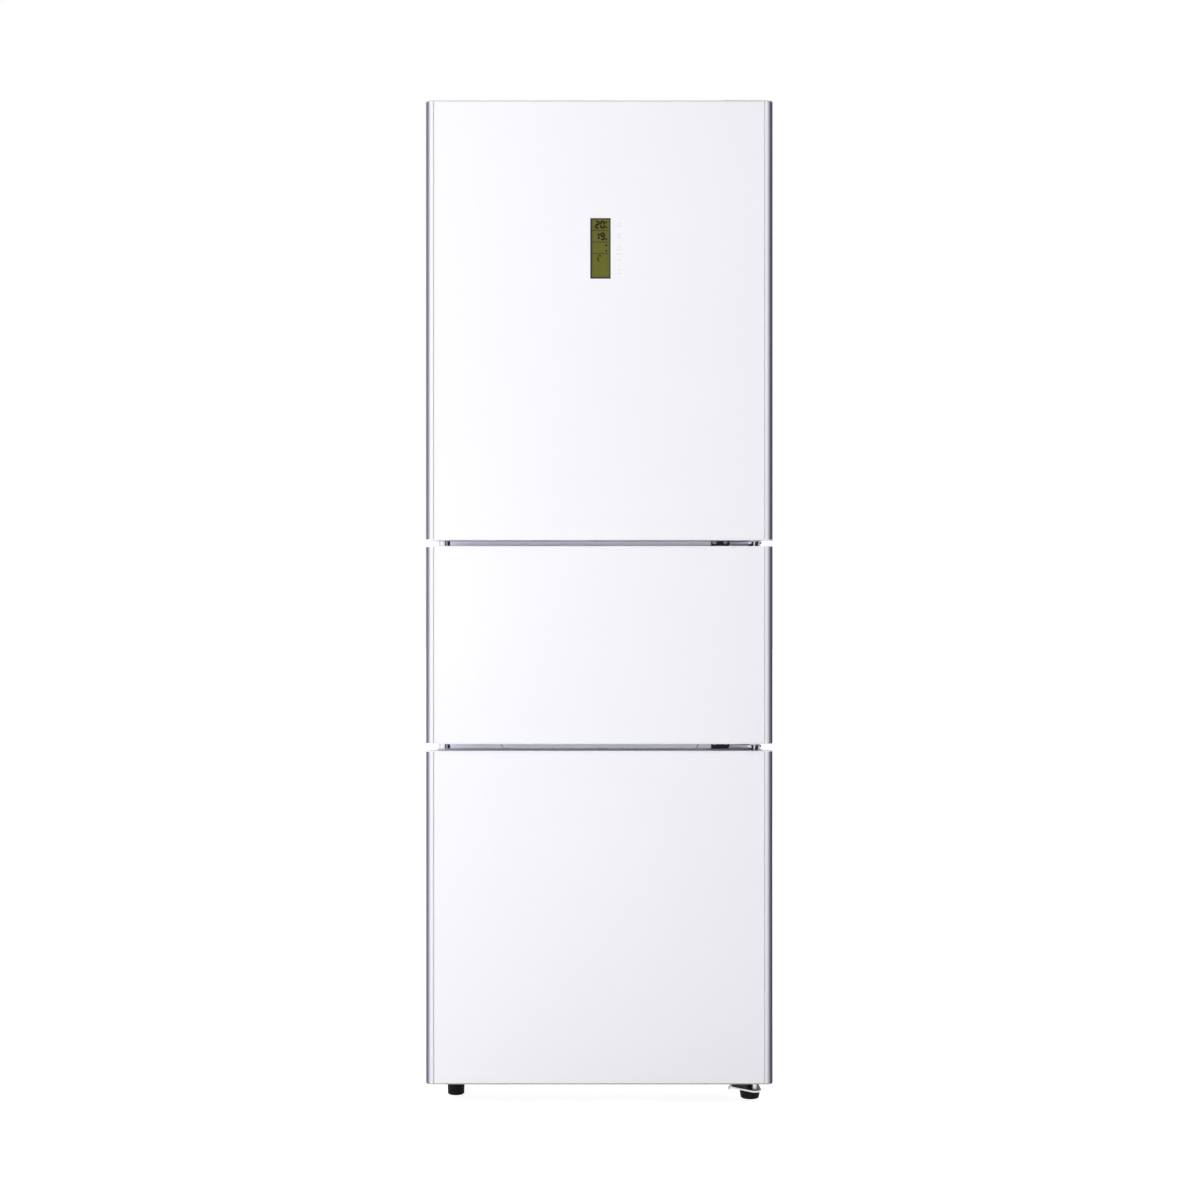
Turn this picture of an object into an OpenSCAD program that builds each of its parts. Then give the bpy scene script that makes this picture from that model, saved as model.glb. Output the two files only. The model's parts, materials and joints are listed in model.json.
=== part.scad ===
// Three door fridge freezer: fridge above, soft freeze compartment in the middle, freezer below.
// Millimetres. X is across the front, Y runs from the doors to the back, Z is up from the floor.

/* [Doors] */
// Width of each door over its side trims
door_w = 604; // [584:4:640]
// Thickness of a door's body, without its gasket
door_t = 58; // [50:1:70]
// Height of the fridge door
fridge_door_h = 764; // [720:1:820]
// Height of the middle door
middle_door_h = 344; // [320:1:380]
// Height of the freezer door
freezer_door_h = 579; // [560:1:620]
// Gap between the fridge door and the middle door
upper_gap = 10; // [10:0.5:14]
// Gap between the middle door and the freezer door
lower_gap = 12; // [10:0.5:14]
// Height of the freezer door's lower edge above the floor
door_lift = 38; // [36:1:42]
// Thickness of the front panel
panel_t = 3; // [2:0.5:5]
// Bevel round the front panel's edge
panel_bevel = 0.8; // [0.4:0.1:1.5]
// Width of a side trim seen from the front
trim_w = 14.5; // [11:0.5:18]
// Radius of a side trim's front edge
trim_r = 12; // [8:0.5:12.5]
// Wall of the side trim profile
trim_wall = 2; // [1.5:0.1:2.5]
// Depth of a side trim's front lip, which is the grip
lip_d = 24; // [22:1:28]
// How far the grip recess behind the lip goes in from the side
grip_d = 16; // [10:0.5:17]
// Thickness of the top and bottom caps of a door
door_cap_t = 1.6; // [1.2:0.1:2.5]
// Wall of the vacuum formed liners
liner_t = 2; // [1.5:0.1:3]
// How far the ridge of the middle and freezer door liners reaches into the cabinet
ridge_d = 22; // [15:1:24]
// How far the ridge of the fridge door liner reaches into the cabinet
fridge_ridge_d = 34; // [26:1:40]
// Width of the door liner's ridge
ridge_w = 18; // [14:1:24]

/* [Gasket] */
// Thickness of a gasket between door and cabinet, with its running gap
gasket_t = 12; // [10:0.5:14]
// Width of a gasket
gasket_w = 14; // [12:0.5:15]

/* [Cabinet] */
// How far the doors stand out beyond the cabinet on each side
door_overhang = 17; // [14.5:0.5:20]
// Depth from the doors' faces to the back panel
depth = 640; // [620:5:700]
// Height of the cabinet's floor above the ground
ground_gap = 50; // [48:1:54]
// Thickness of the steel sheet of the casing
sheet_t = 1; // [0.8:0.1:1.5]
// Radius of a side panel's front edge
nose_r = 6; // [4:0.5:8]
// Width of a side panel's front flange
flange_w = 13; // [11:0.5:14]
// Depth of the hem that holds the liner's edge
hem_d = 7; // [5:0.5:9]
// Height of the top cover
top_cover_h = 14; // [10:1:20]
// Wall of the top cover
top_cover_t = 2.5; // [2:0.1:4]
// Rise of the top cover's deck above the well for the hinge
deck_h = 1.5; // [1:0.1:2.5]
// Insulated side wall, from the casing to the compartment
side_wall = 45; // [42:1:55]
// Insulated back wall
back_wall = 55; // [48:1:65]
// Insulated ceiling
top_wall = 50; // [45:1:60]
// Insulated floor
floor_wall = 68; // [60:1:75]
// Height of the divider between two compartments
divider_h = 62; // [58:1:66]
// Radius of a compartment's corners
corner_r = 24; // [12:1:40]

/* [Machine compartment] */
// Height of the machine compartment
machine_h = 210; // [205:1:220]
// Depth of the machine compartment
machine_d = 210; // [205:1:225]
// Insulation round the machine compartment
step_wall = 52; // [45:1:56]
// Radius of the compressor's shell
compressor_r = 68; // [60:1:72]
// Height of the compressor's shell
compressor_h = 132; // [120:1:136]
// Outer radius of the refrigerant pipes
pipe_r = 3; // [2.5:0.1:3.5]

/* [Hinges and feet] */
// Distance of the hinge axis from the door's side
hinge_inset = 30; // [28:0.5:34]
// Distance of the hinge axis behind the door's face
hinge_setback = 30; // [27:0.5:32]
// Radius of the hinge pins
pin_r = 3.5; // [3:0.1:4.5]
// Running clearance between a pin and its bush
pin_clearance = 0.05; // [0.03:0.01:0.1]
// Thickness of the middle hinges' plates
hinge_t = 4; // [3:0.1:4.5]
// Space between a middle hinge's plate and the door below it
hinge_drop = 4.3; // [3.5:0.1:4.6]
// Radius of the left foot
left_foot_r = 15.5; // [13:0.5:17]
// Radius of the right foot at its top
right_foot_r = 18.5; // [16:0.5:20]
// Radius of the rear rollers
roller_r = 18; // [15:0.5:20]
// Width of a rear roller
roller_w = 16; // [12:0.5:20]
// Radius of the rollers' axles
axle_r = 3; // [2.5:0.1:4]

/* [Fittings] */
// Width of the display window
display_w = 35.4; // [30:0.2:45]
// Height of the display window
display_h = 105.4; // [90:0.2:120]
// Depth of the display window's surface behind the front panel's face
window_setback = 0.8; // [0.5:0.1:1.2]
// Height of the display's centre above the fridge door's lower edge
display_up = 507; // [450:1:560]
// Thickness of the glass shelves
glass_t = 4; // [3:0.5:5]
// Height of the space for the crisper drawer
crisper_h = 178; // [165:1:190]
// Wall of the drawers and door bins
tray_t = 2.5; // [2:0.1:3.5]
// Front to back size of a door bin
bin_d = 100; // [85:1:102]
// Height of a low door bin
bin_h = 72; // [60:1:90]
// Height of the bottle bin
bottle_bin_h = 100; // [80:1:120]
// Outer radius of the evaporator's tube
coil_r = 4; // [3:0.5:5]
// Distance between the evaporator's runs
coil_pitch = 46; // [40:1:60]
// Travel that a closed door leaves the drawers
drawer_play = 20; // [15:1:20]

/* [Hidden] */
$fn = 48;
gap = 0.3;               // seat clearance between neighbouring pieces
seam = 0.4;              // visible joint between the front panel and its trims

// Planes along Y
y_front = -depth / 2;
y_door = y_front + door_t;
y_cab = y_door + gasket_t;
y_back = depth / 2;
back_inset = 3;          // the back panel lies in from the casing's rear edge
y_panel = y_back - back_inset;
y_in = y_back - back_wall;

// Half widths
half_door = door_w / 2;
half_cab = half_door - door_overhang;
half_in = half_cab - side_wall;
hem_lip_t = 1.8;
hem_slot = 0.9;
x_flange = half_cab - flange_w;
x_lip = x_flange - hem_slot - hem_lip_t;
half_beam = x_lip - 4.8;

// Heights of the doors
freezer_z0 = door_lift;
freezer_z1 = freezer_z0 + freezer_door_h;
middle_z0 = freezer_z1 + lower_gap;
middle_z1 = middle_z0 + middle_door_h;
fridge_z0 = middle_z1 + upper_gap;
fridge_z1 = fridge_z0 + fridge_door_h;

// Heights of the cabinet and its compartments
cab_z0 = ground_gap;
cab_z1 = fridge_z1 - 3;
cover_z0 = cab_z1 - top_cover_h;
low_mid = freezer_z1 + lower_gap / 2;
up_mid = middle_z1 + upper_gap / 2;
fz0 = cab_z0 + floor_wall;
fz1 = low_mid - divider_h / 2;
mz0 = low_mid + divider_h / 2;
mz1 = up_mid - divider_h / 2;
rz0 = up_mid + divider_h / 2;
rz1 = cab_z1 - top_wall;

// The machine compartment and the freezer's step over it
machine_y = y_back - machine_d;
machine_z = cab_z0 + machine_h;
step_y = machine_y - step_wall;
step_z = machine_z + step_wall;

// Hinge axis
hinge_x = half_door - hinge_inset;
hinge_y = y_front + hinge_setback;
pin_depth = 13;
boss_r = pin_r + 5;
boss_h = 18;
hinge_tip_r = 11.5;
upper_plate_z = middle_z1 + hinge_drop;
lower_plate_z = freezer_z1 + hinge_drop;
foot_plate_z = door_lift - 19;
foot_plate_t = 3;
top_plate_z = fridge_z1 + 1;
top_plate_t = 2.5;

// Gaskets: the lowest and highest edge of each
gasket_in = 10;
freezer_seal = [cab_z0 + 8, freezer_z1 - gasket_in];
middle_seal = [middle_z0 + gasket_in, middle_z1 - gasket_in];
fridge_seal = [fridge_z0 + gasket_in, cover_z0 + 4];

// Edge of the liners' front flanges, which meet the divider covers and take the gaskets
beam_in = 8;
flange_half = x_lip - gap;
half_seal = flange_half;

// Ridges of the door liners
half_ridge = half_in - 9;
ridge_gap = 7;

// Shelves of the fridge compartment
shelf_front = y_cab + bin_d + 22;
shelf_back = y_in - 7;
shelf_half = half_in - 4;
rib_in = 9;
rib_h = 6;
ledge_y0 = shelf_front + 16;
ledge_y1 = shelf_back - 12 - gap;
crisper_top = rz0 + crisper_h;
shelf_pitch = (rz1 - crisper_top) / 3.1;
shelf_z = [crisper_top, crisper_top + shelf_pitch, crisper_top + 2 * shelf_pitch];
trim_h = 13;

// Door bins
bin_side = 8;
half_bin = half_ridge - ridge_w - bin_side;
ridge_inner_r = max(corner_r - ridge_w, 2);
ear_w = 7;
bin_y0 = y_door + gap;
bin_y1 = y_cab + bin_d;
lower_bin_z = rz0 + ridge_gap + ridge_w + max(4, corner_room(bin_side, 0, ridge_inner_r) + 1);
middle_bin_z = lower_bin_z + bottle_bin_h + 130;
lid_lever = bin_y1 - bin_y0;
upper_bin_z = rz1 - ridge_gap - ridge_w - lid_lever - bin_h - 12;
lid_y = bin_y0 + 7;
lid_z = upper_bin_z + bin_h + 6;
lid_pin_r = 2;

// Evaporator: three shelves of one tube
coil_half = half_in - 6;
coil_bend = coil_pitch / 2;
coil_y0 = y_cab + 62;
coil_runs = 2 * floor((y_in - 24 - coil_y0) / coil_pitch / 2) + 1;
coil_y1 = coil_y0 + (coil_runs - 1) * coil_pitch;
coil_low = step_z + coil_r + 6;
coil_high = fz1 - corner_room(half_in - coil_half + coil_r, coil_r + 0.5, corner_r);
coil_z = [coil_low, (coil_low + coil_high) / 2, coil_high];

// Drawers
drawer_y0 = y_cab + ridge_d + drawer_play + 4;
crisper_y0 = bin_y1 + drawer_play + 4;
half_drawer = half_in - 2 * coil_r - 3;
handle_out = 18;
drawer_back = 20;
crisper_back = 30;
middle_over = 52;
step_play = 8;
under_coil = coil_r + 8;

// Feet, rollers and compressor
left_foot = [-half_cab + 29.8, y_cab + 16];
right_foot = [hinge_x - 6, hinge_y + 30];
roller_x = half_cab - 34;
roller_y = y_back - 38;
base_plate_z = cab_z0 + 3;
compressor_at = [90, machine_y + machine_d / 2 + 4];
mount_h = 12;
compressor_z = base_plate_z + sheet_t + mount_h;
drier_at = [compressor_at.x - 150, compressor_at.y - 49];
relay_x = compressor_at.x - compressor_r - 2;

// Outline helpers

// How far a circle of radius r must stay from a floor or ceiling that meets the side wall in a round
// corner, when it lies d in from that wall
function corner_room(d, r, corner) =
    d >= corner ? r : corner - sqrt(pow(corner - r, 2) - pow(corner - d, 2));

function arc(c, r, a0, a1, n = 8) =
    [for (i = [0:n]) let (a = a0 + (a1 - a0) * i / n) c + r * [cos(a), sin(a)]];

function round_rect(lo, hi, r, n = 6) = concat(
    arc([hi.x - r, lo.y + r], r, -90, 0, n),
    arc([hi.x - r, hi.y - r], r, 0, 90, n),
    arc([lo.x + r, hi.y - r], r, 90, 180, n),
    arc([lo.x + r, lo.y + r], r, 180, 270, n)
);

function mirrored(points) = [for (i = [len(points) - 1:-1:0]) [-points[i].x, points[i].y]];

// A box between two corners
module block(lo, hi) {
    translate(lo) cube(hi - lo);
}

// Draws its children and their mirror image across the middle of the object
module both_sides() {
    children();
    mirror([1, 0, 0]) children();
}

// Extrudes an outline in X and Z from the front to the back
module from_front(y0, y1) {
    translate([0, y1, 0]) rotate([90, 0, 0]) linear_extrude(y1 - y0) children();
}

// Extrudes an outline in Y and Z across the object
module from_side(x0, x1) {
    translate([x0, 0, 0]) rotate([90, 0, 90]) linear_extrude(x1 - x0) children();
}

// Extrudes an outline in X and Y upwards
module from_above(z0, z1) {
    translate([0, 0, z0]) linear_extrude(z1 - z0) children();
}

// A flat frame in X and Z with rounded corners, of the given width inside its outer edge
module ring(half, z0, z1, width, r, y0, y1) {
    from_front(y0, y1) difference() {
        polygon(round_rect([-half, z0], [half, z1], r));
        polygon(round_rect([-half + width, z0 + width], [half - width, z1 - width], max(r - width, 2)));
    }
}

// Tube swept along points, with a frame that is carried along without twisting

function unit(v) = v / norm(v);

function tangents(p) = [for (i = [0:len(p) - 1])
    i == 0 ? unit(p[1] - p[0])
    : i == len(p) - 1 ? unit(p[i] - p[i - 1])
    : unit(unit(p[i + 1] - p[i]) + unit(p[i] - p[i - 1]))];

function carried(n, t) = unit(n - (n * t) * t);

function tube_rings(p, r, sides) =
    let (
        t = tangents(p),
        first = abs(t[0].z) < 0.9 ? [0, 0, 1] : [0, 1, 0],
        normals = [for (i = 0, n = carried(first, t[0]); i < len(p);
            i = i + 1, n = i < len(p) ? carried(n, t[i]) : n) n]
    )
    [for (i = [0:len(p) - 1], k = [0:sides - 1])
        let (b = cross(t[i], normals[i]), a = 360 * k / sides)
        p[i] + r * (cos(a) * normals[i] + sin(a) * b)];

module tube(p, r, sides = 8) {
    rings = len(p);
    faces = concat(
        [[for (k = [0:sides - 1]) k]],
        [[for (k = [sides - 1:-1:0]) (rings - 1) * sides + k]],
        [for (i = [0:rings - 2], k = [0:sides - 1], half = [0, 1])
            let (a = i * sides + k, b = i * sides + (k + 1) % sides)
            half == 0 ? [a, a + sides, b] : [b, a + sides, b + sides]]
    );
    polyhedron(tube_rings(p, r, sides), faces);
}

// Rounds the corner b between a and c of a pipe's route
function bend(a, b, c, r, n = 4) =
    let (u = unit(a - b), v = unit(c - b), p = b + r * u, q = b + r * v)
    [for (i = [0:n]) let (s = i / n) (1 - s) * (1 - s) * p + 2 * s * (1 - s) * b + s * s * q];

function route(points, r) = concat(
    [points[0]],
    [for (i = [1:len(points) - 2]) each bend(points[i - 1], points[i], points[i + 1], r)],
    [points[len(points) - 1]]
);

// Casing

module side_panel() {
    from_above(cab_z0, cover_z0) union() {
        translate([half_cab - sheet_t, y_cab + nose_r]) square([sheet_t, y_back - y_cab - nose_r]);
        polygon(concat(
            arc([half_cab - nose_r, y_cab + nose_r], nose_r, 270, 360),
            arc([half_cab - nose_r, y_cab + nose_r], nose_r - sheet_t, 360, 270)
        ));
        translate([x_flange, y_cab]) square([flange_w - nose_r, sheet_t]);
        translate([x_flange, y_cab]) square([sheet_t, hem_d]);
        translate([x_lip, y_cab + hem_d - sheet_t]) square([x_flange - x_lip + sheet_t, sheet_t]);
        translate([x_lip, y_cab + 0.5]) square([hem_lip_t, hem_d - 0.5]);
    }
}

module side_panel_left() {
    color("white") mirror([1, 0, 0]) side_panel();
}

module side_panel_right() {
    color("white") side_panel();
}

// Plan of the top cover, with its two front corners rounded
function cover_plan(inset) = concat(
    arc([half_cab - nose_r, y_cab + nose_r], nose_r - inset, 270, 360),
    [[half_cab - inset, y_back - inset], [-half_cab + inset, y_back - inset]],
    arc([-half_cab + nose_r, y_cab + nose_r], nose_r - inset, 180, 270)
);

// The raised deck of the top cover leaves a level well for the hinge and its cover
deck_in = 3;
well_play = 4;

module deck_plan() {
    difference() {
        polygon(cover_plan(deck_in));
        translate([hinge_cover_x0 - well_play, y_cab])
            square([half_cab, hinge_cover_back + hinge_cover_t + well_play - y_cab]);
    }
}

module top_cover() {
    color("whitesmoke") difference() {
        union() {
            from_above(cover_z0, cab_z1) polygon(cover_plan(0));
            from_above(cab_z1 - top_cover_t / 2, cab_z1 + deck_h) deck_plan();
        }
        from_above(cover_z0 - 1, cab_z1 - top_cover_t) polygon(cover_plan(top_cover_t));
    }
}

// The back panel has two pressed stiffening beads
bead_x = half_cab * 0.5;
bead_w = 30;
bead_d = 0.6;

module back_panel() {
    half = half_cab - sheet_t - gap;
    bead_z0 = machine_z + 2 * bead_w;
    bead_z1 = cover_z0 - 2 * bead_w;
    color("gainsboro") difference() {
        block([-half, y_panel - sheet_t, machine_z], [half, y_panel, cover_z0]);
        for (x = [-bead_x, bead_x])
            translate([x, y_panel - bead_d, 0]) from_front(0, bead_d + 1)
                polygon(round_rect([-bead_w / 2, bead_z0], [bead_w / 2, bead_z1], bead_w / 2 - 1));
    }
}

// Side view of the space under and behind the insulation: floor, riser and roof of the machine compartment
function base_profile(t) = [
    [y_cab + liner_t, cab_z0], [machine_y + t, cab_z0], [machine_y + t, machine_z - t],
    [y_panel, machine_z - t], [y_panel, machine_z], [machine_y, machine_z], [machine_y, cab_z0 + t],
    [y_cab + liner_t, cab_z0 + t]
];

foot_bush_h = 10;

// The plate carries a threaded bush for the left foot
module base_plate() {
    color("silver") difference() {
        union() {
            from_side(-half_cab + sheet_t, half_cab - sheet_t) polygon(base_profile(sheet_t));
            translate([left_foot.x, left_foot.y, cab_z0 - foot_bush_h])
                cylinder(h = foot_bush_h + sheet_t / 2, r = foot_stud_r + 4.5);
        }
        both_sides() block([x_lip - gap, y_cab, 0], [half_cab, y_cab + hem_d + gap, cab_z0 + 5]);
        translate([left_foot.x, left_foot.y, cab_z0 - foot_bush_h - 1])
            cylinder(h = foot_bush_h + 1, r = foot_stud_r + pin_clearance);
    }
}

// Compartments

// The space of a compartment, grown on all sides but the front; the freezer's has a step at the back
module pocket(z0, z1, grow, stepped = false) {
    difference() {
        from_front(y_cab - 1, y_in + grow)
            polygon(round_rect([-half_in - grow, z0 - grow], [half_in + grow, z1 + grow], corner_r + grow));
        if (stepped)
            block([-half_cab, step_y + grow, 0], [half_cab, y_back, step_z - grow]);
    }
}

module liner(z0, z1, flange_z0, flange_z1, stepped = false) {
    difference() {
        union() {
            block([-flange_half, y_cab, flange_z0], [flange_half, y_cab + liner_t, flange_z1]);
            intersection() {
                pocket(z0, z1, liner_t, stepped);
                block([-half_cab, y_cab, 0], [half_cab, y_back, cab_z1]);
            }
        }
        pocket(z0, z1, 0, stepped);
    }
}

// A ledge on both side walls, with its upper face at the given height
module ledges(z, y0, y1, width = rib_in, height = rib_h) {
    both_sides()
        from_side(half_in - width, half_in + liner_t / 2)
            polygon(round_rect([y0, z - height], [y1, z], height / 3, 3));
}

module fridge_liner() {
    color("white") union() {
        liner(rz0, rz1, rz0 - beam_in, cover_z0);
        intersection() {
            pocket(rz0, rz1, liner_t / 2);
            union() {
                for (z = shelf_z) {
                    ledges(z, ledge_y0, ledge_y1);
                    ledges(z + glass_t + 1 + rib_h, shelf_front + 60, shelf_back - 20);
                }
                for (z = [shelf_z[0] + shelf_pitch / 2, shelf_z[1] + shelf_pitch / 2])
                    ledges(z, ledge_y0, ledge_y1);
            }
        }
    }
}

module middle_liner() {
    color("white") liner(mz0, mz1, mz0 - beam_in, mz1 + beam_in);
}

module freezer_liner() {
    color("white") union() {
        liner(fz0, fz1, cab_z0, fz1 + beam_in, true);
        intersection() {
            pocket(fz0, fz1, liner_t / 2, true);
            for (z = coil_z) ledges(z - coil_r - gap, coil_y0 + riser_r, coil_y1 - riser_r);
        }
    }
}

// Spaces of the two blocks between the compartments, set into the foam of the walls
module divider_spaces(y0, inset) {
    half = half_in + liner_t - inset;
    for (z = [[fz1, mz0], [mz1, rz0]])
        block([-half, y0, z[0] - corner_r], [half, y_in + liner_t - inset, z[1] + corner_r]);
}

module lined_pockets() {
    pocket(rz0, rz1, liner_t);
    pocket(mz0, mz1, liner_t);
    pocket(fz0, fz1, liner_t, true);
}

// Foam round the compartments, and a block between each two of them
module insulation_foam() {
    color("khaki") difference() {
        divider_spaces(y_cab + liner_t, gap);
        lined_pockets();
    }
    color("khaki") difference() {
        union() {
            from_side(-half_cab + sheet_t, half_cab - sheet_t) polygon([
                [y_cab + liner_t, cab_z0 + sheet_t], [machine_y, cab_z0 + sheet_t], [machine_y, machine_z],
                [y_panel - sheet_t, machine_z], [y_panel - sheet_t, cover_z0], [y_cab + liner_t, cover_z0]
            ]);
            from_above(cover_z0 - 1, cab_z1 - top_cover_t)
                translate([-half_cab + nose_r, y_cab + nose_r])
                    square([2 * (half_cab - nose_r), y_back - y_cab - 2 * nose_r]);
        }
        lined_pockets();
        divider_spaces(y_cab, 0);
        both_sides() block([x_lip, y_cab, 0], [half_cab, y_cab + max(hem_d, nose_r), cab_z1]);
        condenser_space();
        control_space();
    }
}

// The steel covers of the two dividers, with shallow returns
module divider_covers() {
    color("lightsteelblue") for (z = [low_mid, up_mid]) {
        z0 = z - divider_h / 2 + beam_in + gap;
        z1 = z + divider_h / 2 - beam_in - gap;
        difference() {
            block([-half_beam, y_cab, z0], [half_beam, y_cab + liner_t, z1]);
            block([-half_beam + sheet_t, y_cab + sheet_t, z0 + sheet_t],
                [half_beam - sheet_t, y_back, z1 - sheet_t]);
        }
    }
}

// Shelves and light

module shelf_glass(z) {
    color("azure", 0.5)
        block([-shelf_half, shelf_front + 6, z + gap], [shelf_half, shelf_back - 4, z + gap + glass_t]);
}

module shelf_upper() {
    shelf_glass(shelf_z[2]);
}

module shelf_middle() {
    shelf_glass(shelf_z[1]);
}

module crisper_cover() {
    shelf_glass(shelf_z[0]);
}

// The front trim of a shelf is a rounded bar with a slot for the glass, the rear trim has a stop above it
module shelf_trims() {
    slot = 0.1;
    color("white") for (z = shelf_z) {
        glass_z = z + gap;
        from_side(-shelf_half, shelf_half) difference() {
            polygon(round_rect([shelf_front, glass_z - 4], [shelf_front + 15, glass_z - 4 + trim_h], 3, 4));
            translate([shelf_front + 6 - slot, glass_z - slot]) square([20, glass_t + 2 * slot]);
        }
        from_side(-shelf_half, shelf_half) difference() {
            polygon(round_rect([shelf_back - 12, glass_z - 3], [shelf_back, glass_z + glass_t + 12], 2, 3));
            translate([shelf_back - 20, glass_z - slot]) square([16 + slot, glass_t + 2 * slot]);
            translate([shelf_back - 13, glass_z + glass_t + 3]) square([8, 20]);
        }
    }
}

light_w = 120;
light_d = 46;
light_h = 9;
light_y = shelf_front + 40;

module interior_light() {
    color("ivory") from_side(-light_w / 2, light_w / 2) polygon(concat(
        [[light_y, rz1], [light_y, rz1 - light_h / 2]],
        arc([light_y + light_h / 2, rz1 - light_h / 2], light_h / 2, 180, 270, 5),
        arc([light_y + light_d - light_h / 2, rz1 - light_h / 2], light_h / 2, 270, 360, 5),
        [[light_y + light_d, rz1]]
    ));
}

// Cooling circuit

// The runs of one evaporator shelf from the front to the back, or the other way round
function coil_level(z, forward) =
    let (
        turn = coil_half - coil_bend - coil_r,
        points = [for (i = [0:coil_runs - 1]) let (
            y = coil_y0 + i * coil_pitch,
            side = i % 2 == 0 ? 1 : -1
        ) each concat(
            [[-side * turn, y, z], [side * turn, y, z]],
            i == coil_runs - 1 ? [] : [for (a = [30:30:150])
                [side * (turn + coil_bend * sin(a)), y + coil_bend * (1 - cos(a)), z]]
        )]
    )
    forward ? points : [for (i = [len(points) - 1:-1:0]) points[i]];

riser_r = 14;
riser_x = half_in - 2 - coil_r;

// From the end of one level up to the start of the next, beside the drawers
function riser(y, z0, z1, side) = concat(
    [for (a = [0:30:90]) [side * (riser_x - riser_r * (1 - sin(a))), y, z0 + riser_r * (1 - cos(a))]],
    [for (a = [90:-30:0]) [side * (riser_x - riser_r * (1 - sin(a))), y, z1 - riser_r * (1 - cos(a))]]
);

module evaporator() {
    low = coil_level(coil_z[0], true);
    middle = coil_level(coil_z[1], false);
    high = coil_level(coil_z[2], true);
    path = concat(
        [for (i = [0:len(low) - 2]) low[i]],
        riser(coil_y1, coil_z[0], coil_z[1], 1),
        [for (i = [1:len(middle) - 2]) middle[i]],
        riser(coil_y0, coil_z[1], coil_z[2], -1),
        [for (i = [1:len(high) - 1]) high[i]]
    );
    color("lightgrey") tube(path, coil_r, 8);
}

// The condenser lies against the left side panel, in a thin space beside the foam
condenser_t = 2 * pipe_r + 1;
condenser_y0 = y_cab + 60;
condenser_y1 = y_back - 60;
condenser_z0 = machine_z + 50;
condenser_z1 = cover_z0 - 60;
condenser_runs = 6;
condenser_pitch = (condenser_y1 - condenser_y0) / (condenser_runs + 1);

module condenser_space() {
    block([-half_cab, condenser_y0 - 10, condenser_z0 - 20],
        [-half_cab + sheet_t + condenser_t, condenser_y1 + 10, condenser_z1 + 20]);
    block([-half_cab, condenser_y1 - condenser_pitch - 2 * pipe_r, machine_z - 1],
        [-half_cab + sheet_t + condenser_t, condenser_y1 - condenser_pitch + 2 * pipe_r, condenser_z0]);
}

function condenser_path() =
    let (
        x = -half_cab + sheet_t + gap + pipe_r,
        r = condenser_pitch / 2
    )
    [for (i = [0:condenser_runs - 1]) let (
        y = condenser_y1 - (i + 1) * condenser_pitch,
        up = i % 2 == 0,
        z0 = i == 0 ? machine_z + sheet_t : condenser_z0 + r,
        z1 = condenser_z1 - r
    ) each concat(
        up ? [[x, y, z0], [x, y, z1]] : [[x, y, z1], [x, y, z0]],
        i == condenser_runs - 1 ? [] : [for (a = [30:30:150])
            [x, y - r * (1 - cos(a)), up ? z1 + r * sin(a) : z0 - r * sin(a)]]
    )];

drier_r = 9;
drier_h = 90;
drier_neck = 13;
drier_z = base_plate_z + 60;

port_x = 40;

module refrigerant_pipes() {
    cx = compressor_at.x;
    cy = compressor_at.y;
    r = compressor_r - shell_step;
    port_y = cy + sqrt(r * r - pow(port_x - pipe_r, 2)) + gap;
    out_y = cy + compressor_r + 14;
    port_z = compressor_z + compressor_h * 0.55;
    roof = machine_z - sheet_t - gap;
    side_x = -half_cab + 20;
    color("peru") {
        tube(condenser_path(), pipe_r, 8);
        // discharge, from the compressor to the left side wall
        tube(route([
            [cx - port_x, port_y, port_z], [cx - port_x, out_y, port_z], [cx - port_x, out_y, port_z + 50],
            [side_x / 2, out_y, port_z + 50], [side_x / 2, out_y, base_plate_z + 40],
            [side_x, out_y, base_plate_z + 40], [side_x, out_y, roof]
        ], 12), pipe_r, 8);
        // suction, from the back of the freezer down to the compressor
        tube(route([
            [cx + port_x, port_y, port_z], [cx + port_x, out_y, port_z], [cx + port_x, out_y, roof]
        ], 12), pipe_r, 8);
        // process stub, pinched shut in the factory
        tube([[cx, cy + r + gap, port_z], [cx, cy + r + 24, port_z]], pipe_r, 8);
        // filter drier, a short copper can with necks, and the line that feeds it
        translate([drier_at.x, drier_at.y, drier_z]) rotate_extrude()
            polygon([
                [0, -drier_neck], [pipe_r, -drier_neck], [pipe_r, 0], [drier_r, drier_r],
                [drier_r, drier_h - drier_r], [pipe_r, drier_h], [pipe_r, drier_h + drier_neck / 2],
                [0, drier_h + drier_neck / 2]
            ]);
        translate([drier_at.x, drier_at.y, 0])
            tube([[0, 0, drier_z + drier_h + drier_neck / 2], [0, 0, roof]], pipe_r * 0.9, 8);
    }
}

// A pressed steel can in two halves with a welded rim, on a foot plate
shell_curve = 34;
rim_at = 0.42;
rim_w = 6;
rim_out = 3;
shell_step = 2;

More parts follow.
